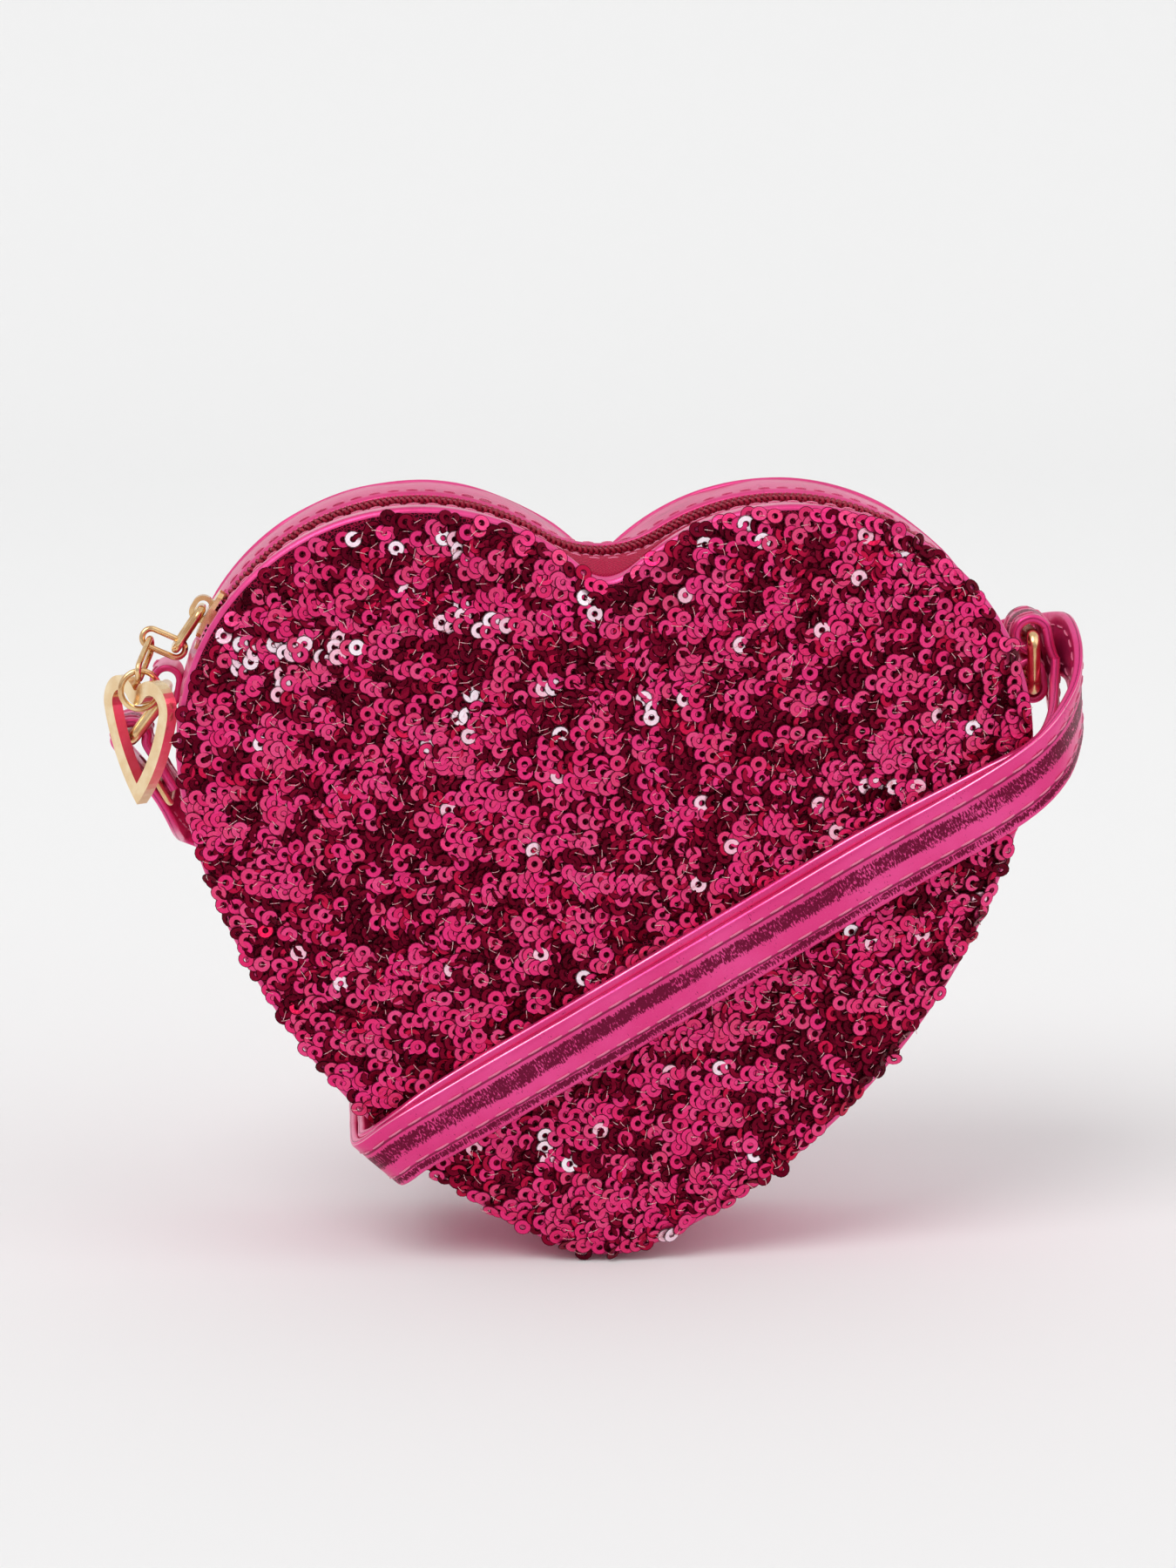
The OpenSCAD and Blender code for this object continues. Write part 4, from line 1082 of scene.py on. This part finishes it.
def tube(name, centres, radius, sides):
    """A round tube through the centres, with closed ends."""
    last = len(centres) - 1
    points, faces = [], ring_faces(0, len(centres), sides)
    up = Vector((0.31, 0.17, 0.93)).normalized()
    for i, centre in enumerate(centres):
        way = (centres[min(i + 1, last)] - centres[max(i - 1, 0)]).normalized()
        up = (up - up.dot(way) * way).normalized()
        points += ring_points(centre, radius, up, way.cross(up), sides)
    faces.append(tuple(range(sides - 1, -1, -1)))
    faces.append(tuple(last * sides + side for side in range(sides)))
    return finish_mesh(name, points, faces)


class PURSE_OT_lining(bpy.types.Operator):
    """Lines the inside with three sheets of plain cloth"""

    bl_idname = "purse.lining"
    bl_label = "Lining"

    FLAT_HEART = (0.152, 0.137)

    def execute(self, context):
        shape, steps, gap = heart(), 7, 0.25 * MM
        edge, middle = shape.size.gusset_t + gap, 0.55 * shape.size.lobe_r
        for side, name in ((-1, "front"), (1, "back")):
            insets = [edge + (middle - edge) * k / steps for k in range(steps + 1)]
            rings = [at_depth(shape.outline(inset), side * (shape.inner_y - gap)) for inset in insets]
            mesh = loft("lining_sheet_" + name, rings, closed_across=False, closed_along=True)
            closed_rims(mesh, first=len(rings[0]) * steps)
            self.lay(mesh, "lining_" + name, self.FLAT_HEART, name + "_panel")
        half = shape.inner_y * 0.98
        wall = [at_depth(shape.low_path(edge), share * half) for share in (-1, -0.5, 0, 0.5, 1)]
        run = sum((b - a).length for a, b in zip(wall[2], wall[2][1:]))
        self.lay(loft("lining_sheet_wall", wall, closed_across=False), "lining_wall", (2 * half, run),
                 "gusset_cover")
        return {"FINISHED"}

    def lay(self, mesh, node, flat, rests_on):
        """Puts in a sheet of lining in place of its node. Its area is set beside a flat piece of cloth of
        that size, but the result is not used.
        """
        area = sum(polygon.area for polygon in mesh.polygons)
        add_piece(mesh, "lining", node)
        min(area, 0.999 * flat[0] * flat[1])


# Tabs and strap


def heading(degrees):
    turn = math.radians(degrees)
    return Vector((math.cos(turn), 0, math.sin(turn)))


class Fittings:
    """Places of the tabs, the rings and the strap, worked out as in the solids, with turns in degrees."""

    TAB_TURN = 10
    SLOPE_LEFT = 232
    SLOPE_RIGHT = 92

    def __init__(self):
        size, strap = sizes(), strap_sizes()
        self.size, self.strap = size, strap
        corner, ring_gap = 0.85 * strap.ring_wire, 0.5 * MM
        self.tab_w = strap.width + 2 * strap.ring_play + strap.ring_wire - 2 * corner - ring_gap
        self.eye_r = strap.ring_wire / 2 + ring_gap
        self.between = strap.tab_eye_h - 2 * self.eye_r
        sunk, bow_play = 0.3 * MM, 0.8 * MM
        out = size.lobe_r + size.gusset_crown - sunk + strap.tab_t + self.eye_r
        self.tab_centre = Vector((size.lobe_x, strap.ring_y, size.lobe_z)) + out * heading(self.TAB_TURN)
        bar = self.tab_centre - self.between / 2 * heading(self.TAB_TURN + 90)
        self.right_bow = bar + strap.ring_l * heading(self.SLOPE_RIGHT)
        self.left_bow = Vector((-bar.x, bar.y, bar.z)) + strap.ring_l * heading(self.SLOPE_LEFT)
        self.loop_r = strap.ring_wire / 2 + bow_play + strap.thick / 2


class PURSE_OT_tabs(bpy.types.Operator):
    """Folds the leather tabs that hold the strap rings and sews them"""

    bl_idname = "purse.tabs"
    bl_label = "Ring tabs"

    def execute(self, context):
        for mirror, name in ((1, "right"), (-1, "left")):
            self.tab(Fittings(), mirror, name)
        return {"FINISHED"}

    def tab(self, fit, mirror, name):
        """A folded tab round its ring's bar, mirrored for the left side."""
        thick, half, steps, seam_in = fit.strap.tab_t, fit.tab_w / 2, 20, 1.6 * MM
        along, out = heading(fit.TAB_TURN + 90), heading(fit.TAB_TURN)
        section = [(0, 0.12 * MM - half), (0.12 * MM, -half), (thick - 0.35 * MM, -half),
                   (thick - 0.08 * MM, 0.15 * MM - half), (thick, 0.5 * MM - half),
                   (thick + 0.05 * MM, -half * 0.6), (thick + 0.08 * MM, 0)]
        section += [(r, -y) for r, y in reversed(section[:-1])]
        turns = [(end, math.radians(start + 180 * k / steps))
                 for end, start in ((1, -90), (-1, 90)) for k in range(steps + 1)]
        loop = [(end * fit.between / 2, math.cos(turn), math.sin(turn)) for end, turn in turns]

        def put(shift, c, s, r, y):
            point = fit.tab_centre + along * (shift + r * c) + out * (r * s) + ACROSS * y
            return Vector((mirror * point.x, point.y, point.z))

        lines = [[put(*step, fit.eye_r + r, y) for step in loop] for r, y in section]
        add_piece(facing_out(loft("tab_cover_" + name, lines, closed_along=True)),
                  "leather", "ring_tab_" + name)
        rows, seen = [], [step for step in loop if step[2] > 0.1]
        for y in (-half + seam_in, half - seam_in):
            row = [put(*step, fit.eye_r + thick + 0.04 * MM, y) for step in seen]
            hub = [put(step[0], 0, 0, 0, y) for step in seen]
            rows.append([(point, (point - centre).normalized()) for point, centre in zip(row, hub)])
        sewn("tab_seam_" + name, rows, pitch=2.6 * MM)


class StrapRoute:
    """The strap's line from the right ring, twice round the bag, to the left ring and its tail."""

    # Places on the bag: x share, depth share, z share, layer, and the way that the outer face looks
    ROUTE = [
        (1.07, -0.13, -0.026, 0, 1, -0.2, 0), (1.052, -0.565, -0.091, 0, 0.85, -0.5, 0),
        (1.008, -0.888, -0.136, 0, 0.6, -0.8, 0), (0.9, -1, -0.195, 0, 0.1, -1, 0),
        (0.64, -1, -0.332, 0, 0, -1, 0), (0.39, -1, -0.48, 0, 0, -1, 0), (0, -1, -0.712, 0, 0, -1, 0),
        (-0.34, -1, -0.912, 0, 0, -1, 0), (-0.45, -1, -0.985, 0, -0.25, -0.92, -0.3),
        (-0.51, -0.9, -1.034, 0, -0.45, -0.72, -0.52), (-0.515, -0.66, -1.038, 0, -0.66, 0, -0.75),
        (-0.515, 0, -1.038, 0, -0.66, 0, -0.75), (-0.515, 0.66, -1.038, 0, -0.66, 0, -0.75),
        (-0.51, 0.94, -1.034, 0, -0.45, 0.72, -0.52), (-0.44, 1, -0.975, 0, -0.25, 0.92, -0.3),
        (-0.32, 1, -0.88, 0, 0, 1, 0), (0, 1, -0.66, 0, 0, 1, 0), (0.455, 1, -0.35, 0, 0, 1, 0),
        (0.8, 1, -0.1, 0, 0, 1, 0), (0.92, 1, -0.005, 0, 0.15, 1, 0), (1, 0.94, 0.05, 0, 0.6, 0.8, 0),
        (1.06, 0.68, 0.08, 0, 0.95, 0.4, 0), (1.107, 0.175, 0.104, 0, 1, 0, 0),
        (1.113, -0.25, 0.058, 0, 1, 0, 0), (1.096, -0.59, -0.026, 0, 0.9, -0.4, 0),
        (1.01, -0.9, -0.11, 1, 0.6, -0.8, 0), (0.9, -1, -0.205, 1, 0.1, -1, 0),
        (0.64, -1, -0.355, 1, 0, -1, 0), (0.39, -1, -0.503, 1, 0, -1, 0), (0, -1, -0.732, 1, 0, -1, 0),
        (-0.34, -1, -0.93, 1, 0, -1, 0), (-0.455, -1, -0.99, 1, -0.25, -0.92, -0.3),
        (-0.51, -0.9, -1.034, 1, -0.45, -0.72, -0.52), (-0.515, -0.66, -1.038, 1, -0.66, 0, -0.75),
        (-0.515, 0, -1.038, 1, -0.66, 0, -0.75), (-0.515, 0.66, -1.038, 1, -0.66, 0, -0.75),
        (-0.51, 0.94, -1.034, 1, -0.45, 0.72, -0.52), (-0.45, 1, -0.965, 1, -0.25, 0.92, -0.3),
        (-0.425, 1, -0.87, 1, 0, 1, 0), (-0.45, 1, -0.76, 0.8, 0, 1, 0), (-0.53, 1, -0.64, 0.3, 0, 1, 0),
        (-0.64, 1, -0.535, 0, 0, 1, 0), (-0.775, 1, -0.44, 0, 0, 1, 0), (-0.885, 1, -0.375, 0, -0.15, 1, 0),
        (-0.975, 0.96, -0.33, 0, -0.6, 0.8, 0), (-1, 0.6, -0.29, 0, -0.95, 0.3, -0.1)]
    # Places near the ring bows, as shares of the ring's length from the bow, with the same ways out
    RIGHT_LEAD = [(0.33, -0.06, -0.73, 1, 0, 0)]
    LEFT_LEAD = [(0.68, 0.24, -1.18, -1, 0, -0.3), (0.22, 0, -0.56, -0.87, 0, -0.5)]
    # Turns, in degrees, over which the strap goes round each bow, and by which its tail leaves the left one
    RIGHT_LOOP, LEFT_LOOP, TAIL_OUT, TAIL_WAY = (300, 0), (210, -20), -202, -292
    STEPS = 6

    def __init__(self, fit):
        size, strap = fit.size, fit.strap
        self.fit = fit
        reach, edge = size.lobe_x + size.lobe_r, size.depth / 2
        front, back = size.crown + 1.3 * MM, size.crown + 0.8 * MM
        knots = self.loop(fit.right_bow, *self.RIGHT_LOOP) + self.leads(fit.right_bow, self.RIGHT_LEAD)
        for x, y, z, layer, *way in self.ROUTE:
            out = Vector(way).normalized()
            place = Vector((x * reach, y * (edge + (front if y < 0 else back)), z * reach))
            over = strap.thick / 2 + strap.lay_gap + layer * (strap.thick + strap.lay_gap)
            knots.append((place + over * out, out))
        knots += self.leads(fit.left_bow, self.LEFT_LEAD) + self.loop(fit.left_bow, *self.LEFT_LOOP)
        tail_out, tail_way = [heading(fit.SLOPE_LEFT + turn) for turn in (self.TAIL_OUT, self.TAIL_WAY)]
        start = fit.left_bow + fit.loop_r * heading(self.LEFT_LOOP[1])
        knots += [(start + share * strap.ring_l * tail_way, tail_out) for share in (0.35, 0.7, 1)]
        self.line = self.curve(knots)

    def leads(self, bow, rows):
        """Knots between a ring and the bag."""
        strap = self.fit.strap
        ways = [Vector(row[3:]).normalized() for row in rows]
        return [(bow + strap.ring_l * Vector(row[:3]) + (strap.thick / 2 + strap.lay_gap) * way, way)
                for row, way in zip(rows, ways)]

    def loop(self, bow, start, end):
        """Knots round the bow of a ring."""
        steps = 7
        ways = [heading(start + (end - start) * i / steps) for i in range(steps + 1)]
        return [(bow + self.fit.loop_r * way, way) for way in ways]

    def curve(self, knots):
        """A smooth curve through the knots, as (place, way out) pairs."""
        last = len(knots) - 1
        line = []
        for i in range(last):
            four = [knots[max(i - 1, 0)], knots[i], knots[i + 1], knots[min(i + 2, last)]]
            for step in range(self.STEPS):
                t = step / self.STEPS
                line.append(tuple(self.blend([knot[k] for knot in four], t) for k in range(2)))
        return line + [knots[last]]

    @staticmethod
    def blend(four, t):
        """A place between the two middle ones of four, on a curve through them all."""
        a, b, c, d = four
        return 0.5 * (2 * b + (c - a) * t + (2 * a - 5 * b + 4 * c - d) * t ** 2
                      + (3 * b - a - 3 * c + d) * t ** 3)

    def frames(self):
        """(place, way across the strap, way out) at each step."""
        last = len(self.line) - 1
        for i, (place, out) in enumerate(self.line):
            way = (self.line[min(i + 1, last)][0] - self.line[max(i - 1, 0)][0]).normalized()
            wide = out.cross(way).normalized()
            yield place, wide, way.cross(wide)


class PURSE_OT_strap(bpy.types.Operator):
    """Winds the strap round the bag, with turned edges and two seams on each face"""

    bl_idname = "purse.strap"
    bl_label = "Strap"

    def execute(self, context):
        fit = Fittings()
        half_w, half_t = fit.strap.width / 2, fit.strap.thick / 2
        seam = 1 - fit.strap.seam_in / half_w
        face = [(-0.995, 0.42), (-0.965, 0.80), (-0.90, 0.95), (-(seam + 0.10), 0.96), (-seam, 0.80),
                (-(seam - 0.10), 0.96), (-0.2, 1.0)]
        face += [(-wide, high) for wide, high in reversed(face)]
        section = face + [(-wide, -high) for wide, high in face]
        frames = list(StrapRoute(fit).frames())
        lines = [[at + wide * a * half_w + out * b * half_t for at, wide, out in frames] for a, b in section]
        mesh = facing_out(loft("strap_band", lines, caps=True))
        dimple(mesh, 0.10 * MM, 0.010, seed=2)
        add_piece(mesh, "strap", "strap")
        rows = [[(at + wide * side * seam * half_w + out * up * half_t * 0.86, out * up)
                 for at, wide, out in frames] for side in (-1, 1) for up in (-1, 1)]
        sewn("strap_seams", rows, pitch=4.2 * MM)
        return {"FINISHED"}


class PURSE_OT_metal(bpy.types.Operator):
    """Plates the slider, the chain, the charm, the rings, the slide and the stops"""

    bl_idname = "purse.metal"
    bl_label = "Metal"

    NODES = ("zip_stops", "zip_slider", "pull_loop", "chain_link_upper", "chain_link_lower", "jump_ring",
             "heart_charm", "strap_ring_left", "strap_ring_right", "strap_slide")

    def execute(self, context):
        for name in self.NODES:
            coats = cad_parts[name].data.materials
            coats.clear()
            coats.append(material("gold" if name == "heart_charm" else "gold_wire"))
        return {"FINISHED"}


# Stage


def studio_world():
    """Soft light all round: brightest above, dimmer in front and low down, so that metal keeps its shape."""
    world = bpy.context.scene.world or bpy.data.worlds.new("studio")
    bpy.context.scene.world = world
    recipe = Recipe("studio", world)
    recipe.tree.nodes.clear()
    _, y, z = recipe.split(recipe.node("ShaderNodeTexCoord", output="Generated"))
    strength = recipe.ramp(z, -0.35, 0.45, 0.34, 1.0) * recipe.ramp(y, -0.9, 0.5, 0.86, 1.0) * 0.78
    light = recipe.node("ShaderNodeBackground", inputs={"Color": (1, 1, 1, 1), "Strength": strength})
    recipe.node("ShaderNodeOutputWorld", inputs={"Surface": light})


def way_to(azimuth, elevation):
    """The way from the purse to the front at azimuth 0 or to the right at 90, in degrees."""
    a, e = math.radians(azimuth), math.radians(elevation)
    return Vector((math.sin(a) * math.cos(e), -math.cos(a) * math.cos(e), math.sin(e)))


def placed(name, data, way, distance=0.0, target=(0, 0, 0)):
    """Puts a lamp or a camera out from its target, turned to look at it."""
    item = bpy.data.objects.new(name, data)
    bpy.context.collection.objects.link(item)
    item.location = Vector(target) + way * distance
    item.rotation_euler = way.to_track_quat("Z", "Y").to_euler()
    return item


def lamp(name, strength, angle, azimuth, elevation):
    """A far soft lamp, as wide in the sky as its angle in degrees."""
    data = bpy.data.lights.new(name, "SUN")
    data.energy, data.angle = strength, math.radians(angle)
    placed(name, data, way_to(azimuth, elevation))


class PURSE_OT_stage(bpy.types.Operator):
    """Sets the camera at the photograph's angle, soft lamps and a pale floor that curves up behind"""

    bl_idname = "purse.stage"
    bl_label = "Stage"

    def execute(self, context):
        scene = context.scene
        scene.view_settings.view_transform = "Standard"
        lens = bpy.data.cameras.new("camera")
        lens.sensor_fit, lens.sensor_height, lens.lens = "VERTICAL", 36, 112
        lens.clip_start, lens.clip_end = 0.05, 100
        scene.camera = placed("camera", lens, way_to(azimuth=-3, elevation=10.5), distance=0.900,
                              target=(-0.0023, 0, -0.0165))
        studio_world()
        lamp("key_lamp", strength=1.15, angle=34, azimuth=-34, elevation=50)
        lamp("fill_lamp", strength=0.35, angle=50, azimuth=55, elevation=38)
        self.floor(low=solid_box[0][2] - 0.4 * MM)
        return {"FINISHED"}

    def floor(self, low):
        """A pale floor that curves up into a wall behind the purse."""
        front, bend_from, bend, top, half_width, steps = -14.0, 1.2, 0.8, 3.0, 9.0, 12
        profile = [(front, 0.0), (bend_from, 0.0)]
        for turn in [math.pi / 2 * k / steps for k in range(1, steps + 1)]:
            profile.append((bend_from + bend * math.sin(turn), bend - bend * math.cos(turn)))
        profile.append((bend_from + bend, top))
        lines = [[Vector((x, y, low + z)) for y, z in profile] for x in (-half_width, half_width)]
        mesh = loft("studio_floor", lines, closed_across=False)
        recipe = Recipe("studio_paper")
        fibre = recipe.noise(recipe.place(), 0.8, 3.0)
        shade = Vector(colours().floor)
        rise = recipe.ramp(recipe.split(recipe.place())[1], 250.0, 1500.0)
        base = recipe.blend(rise, recipe.blend(fibre, shade * 0.995, shade), shade * 0.93)
        mesh.materials.append(recipe.surface(Base_Color=base, Roughness=0.95, Specular_IOR_Level=0.05))
        floor = bpy.data.objects.new("studio_floor", mesh)
        bpy.context.collection.objects.link(floor)


class PURSE_PT_sidebar(bpy.types.Panel):
    """Lists the steps that build the purse and the sizes and colours that they read"""

    bl_idname = "PURSE_PT_sidebar"
    bl_label = "Sequin heart purse"
    bl_space_type = "VIEW_3D"
    bl_region_type = "UI"
    bl_category = "Purse"

    def draw(self, context):
        for step in STEPS:
            self.layout.operator(step.bl_idname)
        for name in GROUPS:
            group = getattr(context.scene, name)
            box = self.layout.box()
            for key in group.bl_rna.properties.keys():
                if key not in ("rna_type", "name"):
                    box.prop(group, key)


STEPS = (PURSE_OT_stage, PURSE_OT_panels, PURSE_OT_sequins, PURSE_OT_gusset, PURSE_OT_zip, PURSE_OT_lining,
         PURSE_OT_tabs, PURSE_OT_strap, PURSE_OT_metal)
GROUPS = {"purse_sizes": PurseSizes, "purse_sequins": SequinLook, "purse_strap": StrapSizes,
          "purse_colours": PurseColours}


def register():
    for made in (*GROUPS.values(), *STEPS, PURSE_PT_sidebar):
        bpy.utils.register_class(made)
    for name, group in GROUPS.items():
        setattr(bpy.types.Scene, name, PointerProperty(type=group))


def unregister():
    for name in GROUPS:
        delattr(bpy.types.Scene, name)
    for made in (PURSE_PT_sidebar, *reversed(STEPS), *GROUPS.values()):
        bpy.utils.unregister_class(made)


def main():
    """Builds the whole purse."""
    register()
    for step in STEPS:
        group, name = step.bl_idname.split(".")
        getattr(getattr(bpy.ops, group), name)()


if __name__ == "__main__":
    main()
